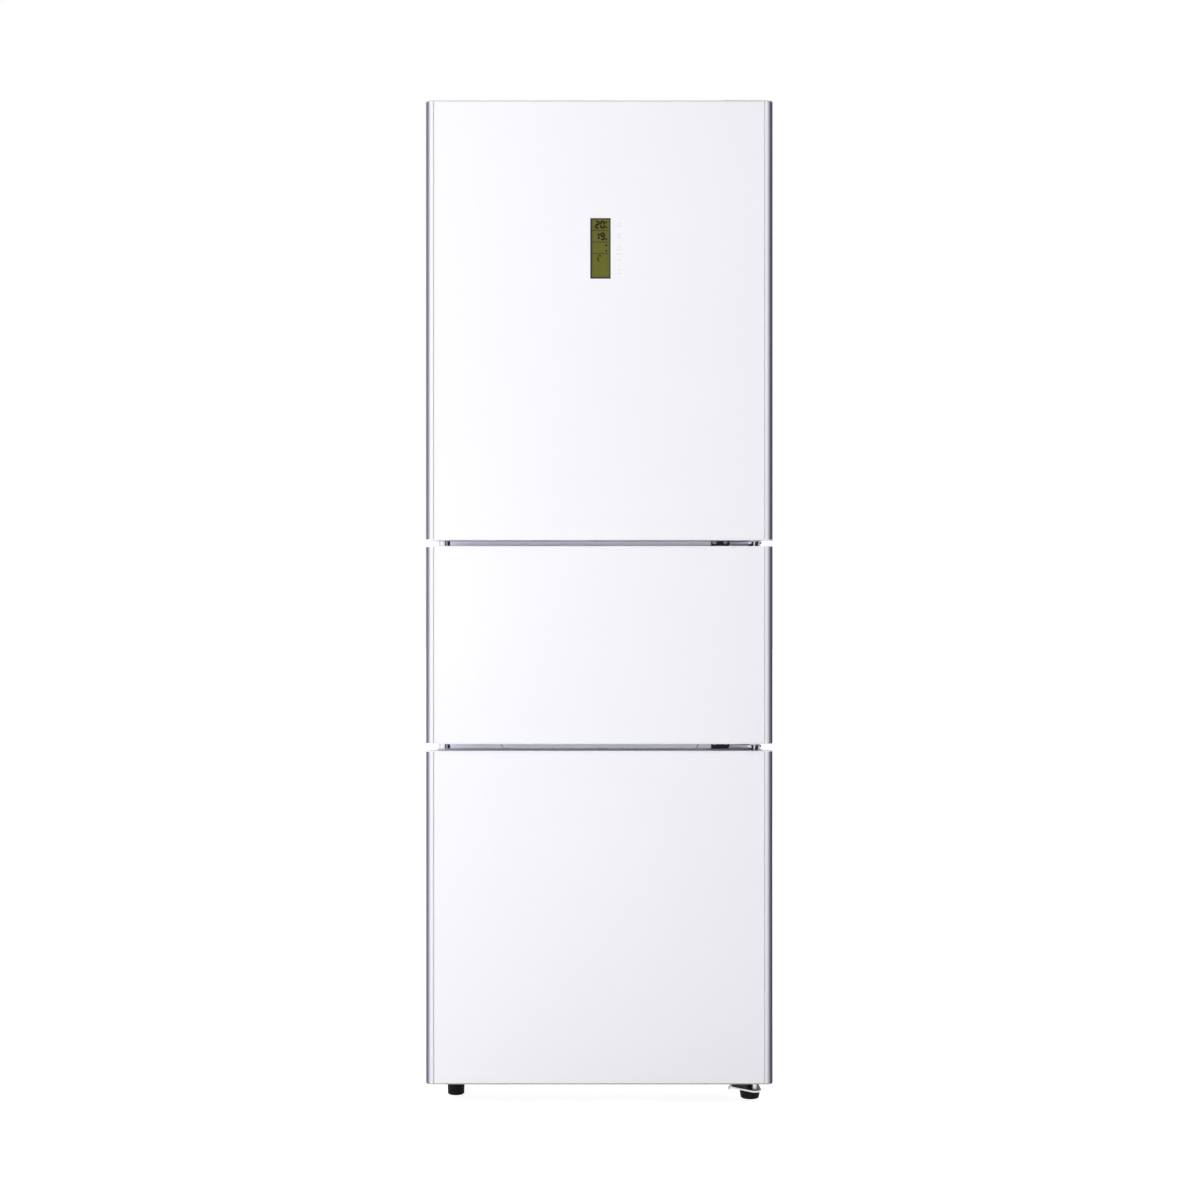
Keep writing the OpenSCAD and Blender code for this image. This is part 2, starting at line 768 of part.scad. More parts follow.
module compressor() {
    h = compressor_h;
    r = compressor_r;
    rim = h * rim_at;
    color("dimgray") translate([compressor_at.x, compressor_at.y, compressor_z]) {
        union() {
            rotate_extrude($fn = 64) polygon(concat(
                [[0, 4]],
                arc([r - shell_curve, 4 + shell_curve], shell_curve, 270, 360),
                [[r, rim - rim_w / 2], [r + rim_out, rim - rim_w / 2]],
                [[r + rim_out, rim + rim_w / 2], [r - shell_step, rim + rim_w / 2]],
                arc([r - shell_step - shell_curve, h - shell_curve], shell_curve, 0, 90),
                [[0, h]]
            ));
            difference() {
                from_above(0, mount_neck_h) union() {
                    for (s = [-1, 1])
                        polygon(round_rect([-r + 4, s * mount_dy - 14], [r - 4, s * mount_dy + 14], 6));
                    square([r * 1.2, 2 * mount_dy - 4], center = true);
                }
                for (x = [-1, 1], y = [-1, 1])
                    translate([x * mount_dx, y * mount_dy, -1]) cylinder(h = 8, r = mount_neck_r + 0.1);
            }
        }
    }
}

// Rubber grommets between the compressor's feet and its plate
mount_in = 18;
mount_dx = compressor_r - mount_in;
mount_dy = compressor_r - mount_in - 10;
mount_r = 10;
mount_neck_r = 6;
mount_neck_h = 5;

module compressor_mounts() {
    color("black") for (x = [-1, 1], y = [-1, 1])
        translate([compressor_at.x + x * mount_dx, compressor_at.y + y * mount_dy, base_plate_z + sheet_t])
            rotate_extrude() polygon(concat(
                [[0, 0], [mount_r, 0], [mount_r, mount_h / 3], [mount_r - 2, mount_h / 2]],
                [[mount_r, mount_h * 2 / 3], [mount_r, mount_h], [mount_neck_r, mount_h]],
                [[mount_neck_r, mount_h + mount_neck_h], [mount_r - 1, mount_h + mount_neck_h + 0.2]],
                [[mount_r - 1, mount_h + mount_neck_h + 2], [mount_r - 3, mount_h + mount_neck_h + 4]],
                [[0, mount_h + mount_neck_h + 4]]
            ));
}

gland_r = 4;
gland_l = 14;
relay_z = compressor_z + 34;

// Relay and overload protector in one moulded box, with the gland that the mains lead leaves through
module start_relay() {
    x1 = compressor_at.x - compressor_r + 12;
    x0 = relay_x - 34;
    y = compressor_at.y;
    rim_z = compressor_z + compressor_h * rim_at - rim_w / 2 - gap;
    color("darkslategray") difference() {
        union() {
            from_above(relay_z, relay_z + 58) polygon(round_rect([x0, y - 30], [x1, y + 30], 5));
            translate([x0 + 17, y + 30, relay_z + 16]) rotate([-90, 0, 0])
                cylinder(h = gland_l - gland_r, r = gland_r + 3);
        }
        translate([x0 + 17, y + 30 - gland_r, relay_z + 16]) rotate([-90, 0, 0])
            cylinder(h = gland_l + 1, r = gland_r);
        translate([compressor_at.x, compressor_at.y, relay_z - 1]) cylinder(h = 60, r = compressor_r + gap);
        translate([compressor_at.x, compressor_at.y, rim_z])
            cylinder(h = rim_w + 2 * gap, r = compressor_r + rim_out + gap);
    }
}

// The control board lies in a moulded box let into the top of the back wall
control_w = 150;
control_h = 100;
control_t = 26;
board_in = 6;
control_z = cover_z0 - 150;

module control_space() {
    block([-control_w / 2 - gap, y_panel - sheet_t - control_t - gap, control_z - gap],
        [control_w / 2 + gap, y_back, control_z + control_h + gap]);
}

module control_box() {
    y1 = y_panel - sheet_t;
    y0 = y1 - control_t;
    color("whitesmoke") difference() {
        from_front(y0, y1)
            polygon(round_rect([-control_w / 2, control_z], [control_w / 2, control_z + control_h], 5));
        from_front(y0 + 2, y1 + 1)
            polygon(round_rect([-control_w / 2 + 2, control_z + 2],
                [control_w / 2 - 2, control_z + control_h - 2], 3));
    }
    color("seagreen")
        block([-control_w / 2 + board_in, y0 + 2, control_z + board_in],
            [control_w / 2 - board_in, y0 + 4, control_z + control_h - board_in]);
}

// Evaporating pan that stands on the compressor
pan_h = 26;
pan_wall = 2;
pan_r = 16;

module drip_tray() {
    z0 = compressor_z + compressor_h + gap;
    half = [compressor_r + 6, compressor_r - 10];
    inner = [half.x - pan_wall, half.y - pan_wall];
    color("gray") translate([compressor_at.x, compressor_at.y, 0]) difference() {
        from_above(z0, z0 + pan_h) polygon(round_rect(-half, half, pan_r));
        from_above(z0 + pan_wall, z0 + pan_h + 1) polygon(round_rect(-inner, inner, pan_r - pan_wall));
    }
}

// Pressed plate across the bottom of the machine compartment, with ears that carry the rollers' axles
ear_t = 3;

module compressor_plate() {
    y0 = machine_y + 14;
    y1 = y_back - 10;
    z = base_plate_z;
    half = half_cab - sheet_t - gap;
    color("silver") union() {
        difference() {
            block([-half, y0, z], [half, y1, z + sheet_t]);
            both_sides() block([roller_x - roller_w / 2 - 4, roller_y - roller_r - 3, z - 1],
                [roller_x + roller_w / 2 + 4, roller_y + roller_r + 3, z + 5]);
            for (i = [0:4])
                from_above(z - 1, z + 5)
                    polygon(round_rect([-190 + i * 40, y0 + 50], [-178 + i * 40, y1 - 70], 6));
        }
        block([-half, y0, z], [half, y0 + sheet_t, z + 12]);
        both_sides() {
            for (x = [roller_x - roller_w / 2 - 1 - ear_t, roller_x + roller_w / 2 + 1])
                from_side(x, x + ear_t) polygon(concat(
                    [[roller_y - 12, z + sheet_t]],
                    arc([roller_y, roller_r], 8, 180, 360),
                    [[roller_y + 12, z + sheet_t]]
                ));
            translate([roller_x - roller_w / 2 - 1 - ear_t - 3, roller_y, roller_r]) rotate([0, 90, 0])
                cylinder(h = roller_w + 2 * ear_t + 8, r = axle_r);
            block([half - sheet_t, y0, z], [half, y1, z + 12]);
        }
    }
}

module roller(x) {
    color("black") translate([x - roller_w / 2, roller_y, roller_r]) rotate([0, 90, 0]) difference() {
        rotate_extrude($fn = 64) polygon([
            [0, 0], [roller_r - 6, 0], [roller_r - 5, 1.5], [roller_r - 2, 1.5], [roller_r, 3.5],
            [roller_r, roller_w - 3.5], [roller_r - 2, roller_w - 1.5], [roller_r - 5, roller_w - 1.5],
            [roller_r - 6, roller_w], [0, roller_w]
        ]);
        translate([0, 0, -1]) cylinder(h = roller_w + 2, r = axle_r + pin_clearance);
    }
}

module roller_left() {
    roller(-roller_x);
}

module roller_right() {
    roller(roller_x);
}

// Hinges

// Plan of a hinge arm: a round tip at the pin, straight sides back to the mounting flange
module arm_plan(x0, x1, y1) {
    union() {
        translate([hinge_x, hinge_y]) circle(hinge_tip_r);
        polygon([
            [x0, y1], [x0, hinge_y + 20], [hinge_x - 12, hinge_y - 8], [hinge_x, hinge_y - hinge_tip_r],
            [hinge_x + hinge_tip_r, hinge_y], [x1, y1]
        ]);
    }
}

bracket_t = 3;
bracket_half_h = 12;
arm_x0 = hinge_x - 46;
arm_x1 = hinge_x + 9;
bracket_x0 = arm_x0 - 28;
bracket_x1 = half_beam;

// A middle hinge: a flange on the divider, an arm between two doors and a pin into each
module middle_hinge(plate_z, mid, below, above) {
    union() {
        from_front(y_cab - bracket_t, y_cab)
            polygon(round_rect([bracket_x0, mid - bracket_half_h],
                [bracket_x1, mid + bracket_half_h], 2, 3));
        from_above(plate_z, plate_z + hinge_t) arm_plan(arm_x0, bracket_x1, y_cab - bracket_t / 2);
        translate([hinge_x, hinge_y, below - pin_depth])
            cylinder(h = above - below + 2 * pin_depth, r = pin_r);
        translate([hinge_x, hinge_y, below + gap])
            cylinder(h = plate_z - below, r = pin_r + 3);
    }
}

module upper_middle_hinge() {
    color("silver") middle_hinge(upper_plate_z, up_mid, middle_z1, fridge_z0);
}

module lower_middle_hinge() {
    color("silver") middle_hinge(lower_plate_z, low_mid, freezer_z1, middle_z0);
}

// The top hinge is cranked: flat on the top cover, then raised over the door
module top_hinge() {
    back = y_cab + 62;
    color("silver") union() {
        intersection() {
            from_side(arm_x0 - 4, half_cab) polygon([
                [hinge_y - 20, top_plate_z], [y_cab + 8, top_plate_z], [y_cab + 14, cab_z1],
                [back, cab_z1], [back, cab_z1 + top_plate_t], [y_cab + 16, cab_z1 + top_plate_t],
                [y_cab + 10, top_plate_z + top_plate_t], [hinge_y - 20, top_plate_z + top_plate_t]
            ]);
            from_above(cab_z1 - 1, top_plate_z + 10) union() {
                arm_plan(arm_x0, arm_x1, y_cab);
                translate([arm_x0 - 4, y_cab - 1]) square([arm_x1 + 4 - arm_x0, back - y_cab + 2]);
            }
        }
        translate([hinge_x, hinge_y, fridge_z1 - pin_depth])
            cylinder(h = top_plate_z + top_plate_t / 2 - fridge_z1 + pin_depth, r = pin_r);
    }
}

// Moulded cover over the top hinge, low at the front so that it hides behind the door's upper edge
hinge_cover_x0 = arm_x0 - 8;
hinge_cover_back = y_cab + 74;
hinge_cover_t = 1.5;
hinge_cover_rise = 12;

function hinge_cover_profile(t) =
    let (nose_y = hinge_y - hinge_tip_r - t, crown_z = cab_z1 + hinge_cover_rise + t)
    [
        [nose_y, top_plate_z + gap], [nose_y, top_plate_z + top_plate_t + gap + t],
        [y_cab - hinge_cover_rise, crown_z], [hinge_cover_back - 6 + t, crown_z],
        [hinge_cover_back + t, cab_z1], [y_cab + 4 - t, cab_z1], [y_cab + 4 - t, top_plate_z + gap]
    ];

module top_hinge_cover() {
    x0 = hinge_cover_x0;
    x1 = hinge_x + hinge_tip_r + gap + hinge_cover_t;
    color("whitesmoke") difference() {
        from_side(x0, x1) polygon(hinge_cover_profile(hinge_cover_t));
        from_side(x0 + hinge_cover_t, x1 - hinge_cover_t) polygon([
            [hinge_y - hinge_tip_r - gap, 0], [hinge_y - hinge_tip_r - gap, top_plate_z + top_plate_t + gap],
            [y_cab - hinge_cover_rise, cab_z1 + hinge_cover_rise],
            [hinge_cover_back - 6, cab_z1 + hinge_cover_rise],
            [hinge_cover_back, 0]
        ]);
    }
}

foot_stud_r = 4;

// The bottom hinge carries the freezer door's pin and the right foot, and is fixed under the cabinet
module bottom_hinge() {
    z0 = foot_plate_z;
    z1 = z0 + foot_plate_t;
    web_x0 = hinge_x - 58;
    web_x1 = half_cab - 4;
    color("silver") difference() {
        union() {
            from_above(z0, z1) union() {
                translate([hinge_x, hinge_y]) circle(hinge_tip_r);
                polygon([
                    [hinge_x - 38, y_cab + 20], [hinge_x - 38, hinge_y + 17], [hinge_x - 9, hinge_y - 7],
                    [hinge_x, hinge_y - hinge_tip_r], [hinge_x + hinge_tip_r, hinge_y], [web_x1, y_cab + 20]
                ]);
            }
            block([web_x0, y_cab + 20 - foot_plate_t, z0], [web_x1, y_cab + 20, cab_z0]);
            block([web_x0, y_cab + 18, cab_z0 - foot_plate_t], [web_x1, y_cab + 66, cab_z0]);
            from_front(hinge_y + 24, hinge_y + 38) polygon([
                [hinge_x - 44, z0 - 3], [hinge_x - 42, z0 - 5], [hinge_x - 37, z0], [hinge_x - 34, z0],
                [hinge_x - 34, z1], [hinge_x - 38.5, z1]
            ]);
            translate([hinge_x, hinge_y, z0]) cylinder(h = door_lift + pin_depth - z0, r = pin_r);
            translate([hinge_x, hinge_y, door_lift - gap - 2]) cylinder(h = 2, r = pin_r + 2.5);
        }
        translate([right_foot.x, right_foot.y, z0 - 1])
            cylinder(h = foot_plate_t + 2, r = foot_stud_r + pin_clearance);
    }
}

// A screw foot: a moulded pad with a rounded lower edge on a steel stud
module foot(at, r_top, r_bottom, pad_h, stud_top) {
    edge = 2.5;
    color("black") translate([at.x, at.y, 0]) union() {
        rotate_extrude($fn = 64) polygon(concat(
            [[0, 0]], arc([r_bottom - edge, edge], edge, 270, 350, 5),
            [[r_top, pad_h - 1], [r_top - 1, pad_h], [0, pad_h]]
        ));
        translate([0, 0, pad_h - 1]) cylinder(h = stud_top - pad_h + 1, r = foot_stud_r);
    }
}

module foot_left() {
    foot(left_foot, left_foot_r, left_foot_r - 0.8, cab_z0 - 16, cab_z0 - gap);
}

module foot_right() {
    foot(right_foot, right_foot_r, right_foot_r - 2.2, foot_plate_z - 2, foot_plate_z + foot_plate_t + 8);
}

// Doors

// Right half of the trim's outer line, from the panel's edge round the lip to the back of the door
lip_edge_r = 3;
grip_r = 8;
x_trim = half_door - trim_w;
front_r = min(trim_r, trim_w - 0.5);
x_back = half_door - grip_d;
y_lip = y_front + lip_d;

function trim_outer() = concat(
    arc([half_door - front_r, y_front + front_r], front_r, 270, 360),
    arc([half_door - lip_edge_r, y_lip - lip_edge_r], lip_edge_r, 0, 90, 4),
    arc([x_back + grip_r, y_lip + grip_r], grip_r, 270, 180, 6),
    [[x_back, y_door]]
);

function trim_inner() = concat(
    [[x_back - trim_wall, y_door]],
    arc([x_back + grip_r, y_lip + grip_r], grip_r + trim_wall, 180, 260, 6),
    [[half_door - trim_wall - 1, y_lip - trim_wall], [half_door - trim_wall, y_lip - trim_wall - 1]],
    arc([half_door - front_r, y_front + front_r], front_r - trim_wall, 360, 270)
);

// The trim with its ledge behind the panel's edge
ledge_w = 8;

module trim_plan() {
    union() {
        polygon(concat([[x_trim, y_front]], trim_outer(), trim_inner(), [[x_trim, y_front + trim_wall]]));
        translate([x_trim - ledge_w, y_front + panel_t]) square([ledge_w + trim_wall, trim_wall]);
        translate([x_trim, y_front]) square([trim_wall, panel_t + trim_wall]);
    }
}

module door_trims(z0, z1) {
    color("silver") both_sides()
        from_above(z0 + door_cap_t, z1 - door_cap_t) trim_plan();
}

module door_panel(z0, z1) {
    x = x_trim - seam;
    b = panel_bevel;
    bottom = z0 + door_cap_t;
    top = z1 - door_cap_t;
    intersection() {
        from_above(bottom, top) polygon([
            [-x, y_front + panel_t], [-x, y_front + b], [-x + b, y_front], [x - b, y_front],
            [x, y_front + b], [x, y_front + panel_t]
        ]);
        from_side(-x, x) polygon([
            [y_front + panel_t, bottom], [y_front + b, bottom], [y_front, bottom + b],
            [y_front, top - b], [y_front + b, top], [y_front + panel_t, top]
        ]);
    }
}

// Half of the full plan of a door, for its caps
function door_plan() = concat(trim_outer(), mirrored(trim_outer()));

// Top and bottom caps, each with a hinge bush on the right and a blind boss on the left
module door_caps(z0, z1, collar) {
    color("gainsboro") {
        difference() {
            union() {
                from_above(z1 - door_cap_t, z1) polygon(door_plan());
                both_sides() translate([hinge_x, hinge_y, z1 - boss_h]) cylinder(h = boss_h, r = boss_r);
            }
            translate([hinge_x, hinge_y, z1 - pin_depth - 1])
                cylinder(h = pin_depth + 2, r = pin_r + pin_clearance);
        }
        difference() {
            union() {
                from_above(z0, z0 + door_cap_t) polygon(door_plan());
                both_sides() translate([hinge_x, hinge_y, z0]) cylinder(h = boss_h, r = boss_r);
                if (collar > 0)
                    translate([hinge_x, hinge_y, z0 - collar]) cylinder(h = collar + 1, r = boss_r - 1);
            }
            translate([hinge_x, hinge_y, z0 - collar - 1])
                cylinder(h = pin_depth + collar + 2, r = pin_r + pin_clearance);
        }
    }
}

// The ridge of a door liner, as a solid: a frame that reaches into the compartment
module ridge(z0, z1, reach, grow) {
    inset = liner_t - grow;
    half = half_ridge - inset;
    width = ridge_w - 2 * inset;
    ring(half, z0 + ridge_gap + inset, z1 - ridge_gap - inset, width, corner_r - inset,
        y_door - 6, y_cab + reach - inset);
}

// Plan of a door's foam: all that lies between the trims, the front panel and the liner
module foam_plan() {
    difference() {
        intersection() {
            polygon(door_plan());
            translate([-half_door, y_front + panel_t]) square([door_w, door_t - panel_t - liner_t]);
        }
        both_sides() trim_plan();
    }
}

module door_foam(z0, z1, comp_z0, comp_z1, reach, display = false) {
    color("khaki") difference() {
        union() {
            from_above(z0 + door_cap_t, z1 - door_cap_t) foam_plan();
            ridge(comp_z0, comp_z1, reach, 0);
        }
        both_sides() for (z = [z0, z1 - boss_h - gap])
            translate([hinge_x, hinge_y, z - 1]) cylinder(h = boss_h + gap + 1, r = boss_r + gap);
        if (display) display_space();
    }
}

module door_liner(z0, z1, comp_z0, comp_z1, reach, bins = false) {
    x = x_back - trim_wall;
    color("white") union() {
        difference() {
            union() {
                from_front(y_door - liner_t, y_door)
                    polygon(round_rect([-x, z0 + door_cap_t], [x, z1 - door_cap_t], 3, 3));
                intersection() {
                    ridge(comp_z0, comp_z1, reach, liner_t);
                    block([-half_door, y_door - liner_t, 0], [half_door, y_back, fridge_z1]);
                }
            }
            ridge(comp_z0, comp_z1, reach, 0);
        }
        if (bins) bin_rests();
    }
}

// Foam pads: the gasket's base, bellows and sealing face
module gasket(seal) {
    mid = (y_door + y_cab) / 2;
    color("lightgrey") union() {
        ring(half_seal, seal[0], seal[1], gasket_w, 8, y_door, y_door + 4);
        ring(half_seal - 3, seal[0] + 3, seal[1] - 3, gasket_w - 6, 5, y_door + 3, y_cab - 3);
        ring(half_seal, seal[0], seal[1], gasket_w, 8, mid, mid + 1.5);
        ring(half_seal, seal[0], seal[1], gasket_w, 8, y_cab - 3.5, y_cab - gap);
    }
}

fridge_collar = fridge_z0 - upper_plate_z - hinge_t - gap;
middle_collar = middle_z0 - lower_plate_z - hinge_t - gap;

module fridge_door_panel() {
    color("white") difference() {
        door_panel(fridge_z0, fridge_z1);
        block([display_x - display_w / 2, y_front - 1, display_z - display_h / 2],
            [display_x + display_w / 2, y_front + panel_t + 1, display_z + display_h / 2]);
    }
}

module fridge_door_trims() {
    door_trims(fridge_z0, fridge_z1);
}

module fridge_door_caps() {
    door_caps(fridge_z0, fridge_z1, fridge_collar);
}

module fridge_door_foam() {
    door_foam(fridge_z0, fridge_z1, rz0, rz1, fridge_ridge_d, true);
}

module fridge_door_liner() {
    door_liner(fridge_z0, fridge_z1, rz0, rz1, fridge_ridge_d, true);
}

module fridge_door_gasket() {
    gasket(fridge_seal);
}

module middle_door_panel() {
    color("white") door_panel(middle_z0, middle_z1);
}

module middle_door_trims() {
    door_trims(middle_z0, middle_z1);
}

module middle_door_caps() {
    door_caps(middle_z0, middle_z1, middle_collar);
}

module middle_door_foam() {
    door_foam(middle_z0, middle_z1, mz0, mz1, ridge_d);
}

module middle_door_liner() {
    door_liner(middle_z0, middle_z1, mz0, mz1, ridge_d);
}

module middle_door_gasket() {
    gasket(middle_seal);
}

module freezer_door_panel() {
    color("white") door_panel(freezer_z0, freezer_z1);
}

module freezer_door_trims() {
    door_trims(freezer_z0, freezer_z1);
}

module freezer_door_caps() {
    door_caps(freezer_z0, freezer_z1, 0);
}

module freezer_door_foam() {
    door_foam(freezer_z0, freezer_z1, fz0, fz1, ridge_d);
}

module freezer_door_liner() {
    door_liner(freezer_z0, freezer_z1, fz0, fz1, ridge_d);
}

module freezer_door_gasket() {
    gasket(freezer_seal);
}

// Display: a window just behind the front panel's face, on a housing let into the foam
display_x = 2;           // the display stands a little right of the door's middle
display_z = fridge_z0 + display_up;
housing_t = 12;
housing_over = 5;
window_slack = 0.15;

// Half size of the display, grown all round
function display_half(grow) = [display_w / 2 + grow, display_h / 2 + grow];

module display_space() {
    half = display_half(housing_over + gap);
    block([display_x - half.x, y_front, display_z - half.y],
        [display_x + half.x, y_front + panel_t + housing_t + gap, display_z + half.y]);
}

module display_unit() {
    window = display_half(-window_slack);
    housing = display_half(housing_over);
    color("olivedrab") translate([display_x, 0, display_z]) union() {
        block([-window.x, y_front + window_setback, -window.y], [window.x, y_front + panel_t + 1, window.y]);
        from_front(y_front + panel_t, y_front + panel_t + housing_t)
            polygon(round_rect(-housing, housing, 3, 3));
    }
}

// Door bins

rest_y0 = y_door + 8;
rest_y1 = rest_y0 + 26;
rest_h = 10;
rest_drop = 22;

// Rests on the ridge's inner walls that the bins' ears stand on
module bin_rests() {
    both_sides() for (top = [upper_bin_z + bin_h, middle_bin_z + bin_h, lower_bin_z + bottle_bin_h])
        from_side(half_ridge - ridge_w - ear_w, half_ridge - ridge_w + liner_t / 2)
            polygon(round_rect([rest_y0, top - rest_drop - rest_h], [rest_y1, top - rest_drop], 2, 3));
}

// How much lower a bin's front is than its back
bin_dip = 14;

// An open tray with a rounded front, and an ear at each end
module bin(z, h) {
    t = tray_t;
    plan = concat(
        [[half_bin, bin_y0], [half_bin, bin_y1 - 18]],
        [for (p = arc([half_bin - 18, bin_y1 - 18], 18, 0, 90)) p]
    );
    inner = concat(
        [[half_bin - t, bin_y0 + t], [half_bin - t, bin_y1 - 18]],
        [for (p = arc([half_bin - 18, bin_y1 - 18], 18 - t, 0, 90)) p]
    );
    ear_z = z + h - rest_drop + gap;
    union() {
        difference() {
            from_above(z, z + h) polygon(concat(plan, mirrored(plan)));
            from_above(z + t, z + h + 1) polygon(concat(inner, mirrored(inner)));
            translate([0, bin_y1, 0]) from_side(-half_bin - 1, half_bin + 1) polygon([
                [-60, z + h + 1], [-60, z + h], [-30, z + h - bin_dip],
                [10, z + h - bin_dip], [10, z + h + 1]
            ]);
        }
        both_sides() from_side(half_bin - t / 2, half_bin + ear_w)
            polygon(round_rect([rest_y0 + 2, ear_z], [rest_y1 - 2, ear_z + 12], 2, 3));
    }
}

// The upper bin has two upright lugs that hold its lid's pins
lug_t = 3;

module bin_upper() {
    color("azure", 0.6) difference() {
        union() {
            bin(upper_bin_z, bin_h);
            both_sides() from_side(half_bin - lug_t, half_bin) polygon(concat(
                [[lid_y - 6, upper_bin_z + bin_h - 3]], arc([lid_y, lid_z], 5, 180, 0),
                [[lid_y + 6, upper_bin_z + bin_h - 3]]
            ));
        }
        both_sides() translate([half_bin - lug_t - 1, lid_y, lid_z]) rotate([0, 90, 0])
            cylinder(h = lug_t + 2, r = lid_pin_r + pin_clearance);
    }
}

module bin_middle() {
    color("azure", 0.6) bin(middle_bin_z, bin_h);
}

module bin_lower() {
    color("azure", 0.6) bin(lower_bin_z, bottle_bin_h);
}

lid_play = 0.4;
lid_bend = 8;

// The lid swings up on two pins at its rear corners
module bin_lid() {
    half = half_bin - lug_t - lid_play;
    front = bin_y1 - 4;
    under = lid_z + 1 - tray_t;
    lip_z = upper_bin_z + bin_h - bin_dip + lid_play;
    bend_at = [front - lid_bend, under - lid_bend];
    color("azure", 0.6) union() {
        from_side(-half, half) polygon(concat(
            [[lid_y, under], [bend_at.x, under]],
            arc(bend_at, lid_bend, 90, 0, 5),
            [[front, lip_z], [front + tray_t, lip_z]],
            arc(bend_at, lid_bend + tray_t, 0, 90, 5),
            [[lid_y, under + tray_t]]
        ));
        from_side(-half, half) translate([lid_y, lid_z]) circle(lid_pin_r + 1.6);
        both_sides() translate([half - 1, lid_y, lid_z]) rotate([0, 90, 0])
            cylinder(h = lug_t + 3 * lid_play, r = lid_pin_r);
    }
}

// Drawers

// Side view of a drawer's front wall, which curls over into a handle
function drawer_front(z0, z1, y0) =
    let (t = tray_t, front = y0 + handle_out, r = 8)
    concat(
        [[front, z0], [front + t, z0]],
        arc([front + t - 3, z1 - 3], 3, 0, 90, 3),
        arc([y0 + r, z1 - r], r, 90, 180, 5),
        [[y0, z1 - 26], [y0 + t, z1 - 26]],
        arc([y0 + r, z1 - r], r - t, 180, 90, 5),
        arc([front - 3, z1 - t - 3], 3, 90, 0, 3)
    );

// Front view of a drawer, with its lower corners rounded to go with the compartment's
function drawer_section(half, z0, z1, r) = concat(
    [[half, z1], [-half, z1]],
    arc([-half + r, z0 + r], r, 180, 270, 6),
    arc([half - r, z0 + r], r, 270, 360, 6)
);

// An open drawer with a rim round its top
module drawer(z0, z1, y0, y1) {
    t = tray_t;
    r = max(corner_r - 8, riser_r + 2);
    body = half_drawer - 4;
    rim = z1 - 14;
    front = y0 + handle_out;
    union() {
        difference() {
            union() {
                intersection() {
                    from_above(z0, rim) polygon(round_rect([-body, front], [body, y1], 10));
                    from_front(front, y1) polygon(drawer_section(body, z0, rim, r));
                }
                from_above(rim - 3, rim) polygon(round_rect([-half_drawer, front], [half_drawer, y1], 12));
            }
            intersection() {
                from_above(z0 + t, z1)
                    polygon(round_rect([-body + t, front + t], [body - t, y1 - t], 10 - t));
                from_front(front, y1) polygon(drawer_section(body - t, z0 + t, z1, r - t));
            }
        }
        intersection() {
            from_side(-half_drawer, half_drawer) polygon(drawer_front(z0, z1, y0));
            from_front(y0 - 1, y0 + handle_out + t + 1) polygon(drawer_section(half_drawer, z0, z1 + 1, r));
        }
    }
}

module crisper_drawer() {
    color("azure", 0.6)
        drawer(rz0 + gap, crisper_top - rib_in, crisper_y0, y_in - crisper_back);
}

module middle_drawer() {
    color("azure", 0.6) drawer(mz0 + gap, mz1 - middle_over, drawer_y0, y_in - drawer_back);
}

module freezer_drawer_upper() {
    color("azure", 0.6)
        drawer(coil_z[1] + coil_r + gap, coil_z[2] - under_coil, drawer_y0, y_in - drawer_back);
}

module freezer_drawer_middle() {
    color("azure", 0.6)
        drawer(coil_z[0] + coil_r + gap, coil_z[1] - under_coil, drawer_y0, y_in - drawer_back);
}

module freezer_drawer_lower() {
    color("azure", 0.6) drawer(fz0 + gap, coil_z[0] - under_coil, drawer_y0, step_y - step_play);
}

side_panel_left();
side_panel_right();
top_cover();
back_panel();
base_plate();
insulation_foam();
fridge_liner();
middle_liner();
freezer_liner();
divider_covers();
top_hinge();
top_hinge_cover();
upper_middle_hinge();
lower_middle_hinge();
bottom_hinge();
shelf_upper();
shelf_middle();
crisper_cover();
shelf_trims();
interior_light();
evaporator();
compressor();
compressor_mounts();
start_relay();
control_box();
drip_tray();
refrigerant_pipes();
compressor_plate();
roller_left();
roller_right();
foot_left();
foot_right();
fridge_door_panel();
fridge_door_trims();
fridge_door_caps();
fridge_door_foam();
fridge_door_liner();
fridge_door_gasket();
display_unit();
bin_upper();
bin_lid();
bin_middle();
bin_lower();
middle_door_panel();
middle_door_trims();
middle_door_caps();
middle_door_foam();
middle_door_liner();
middle_door_gasket();
freezer_door_panel();
freezer_door_trims();
freezer_door_caps();
freezer_door_foam();
freezer_door_liner();
freezer_door_gasket();
crisper_drawer();
middle_drawer();
freezer_drawer_upper();
freezer_drawer_middle();
freezer_drawer_lower();
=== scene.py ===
import json
import math

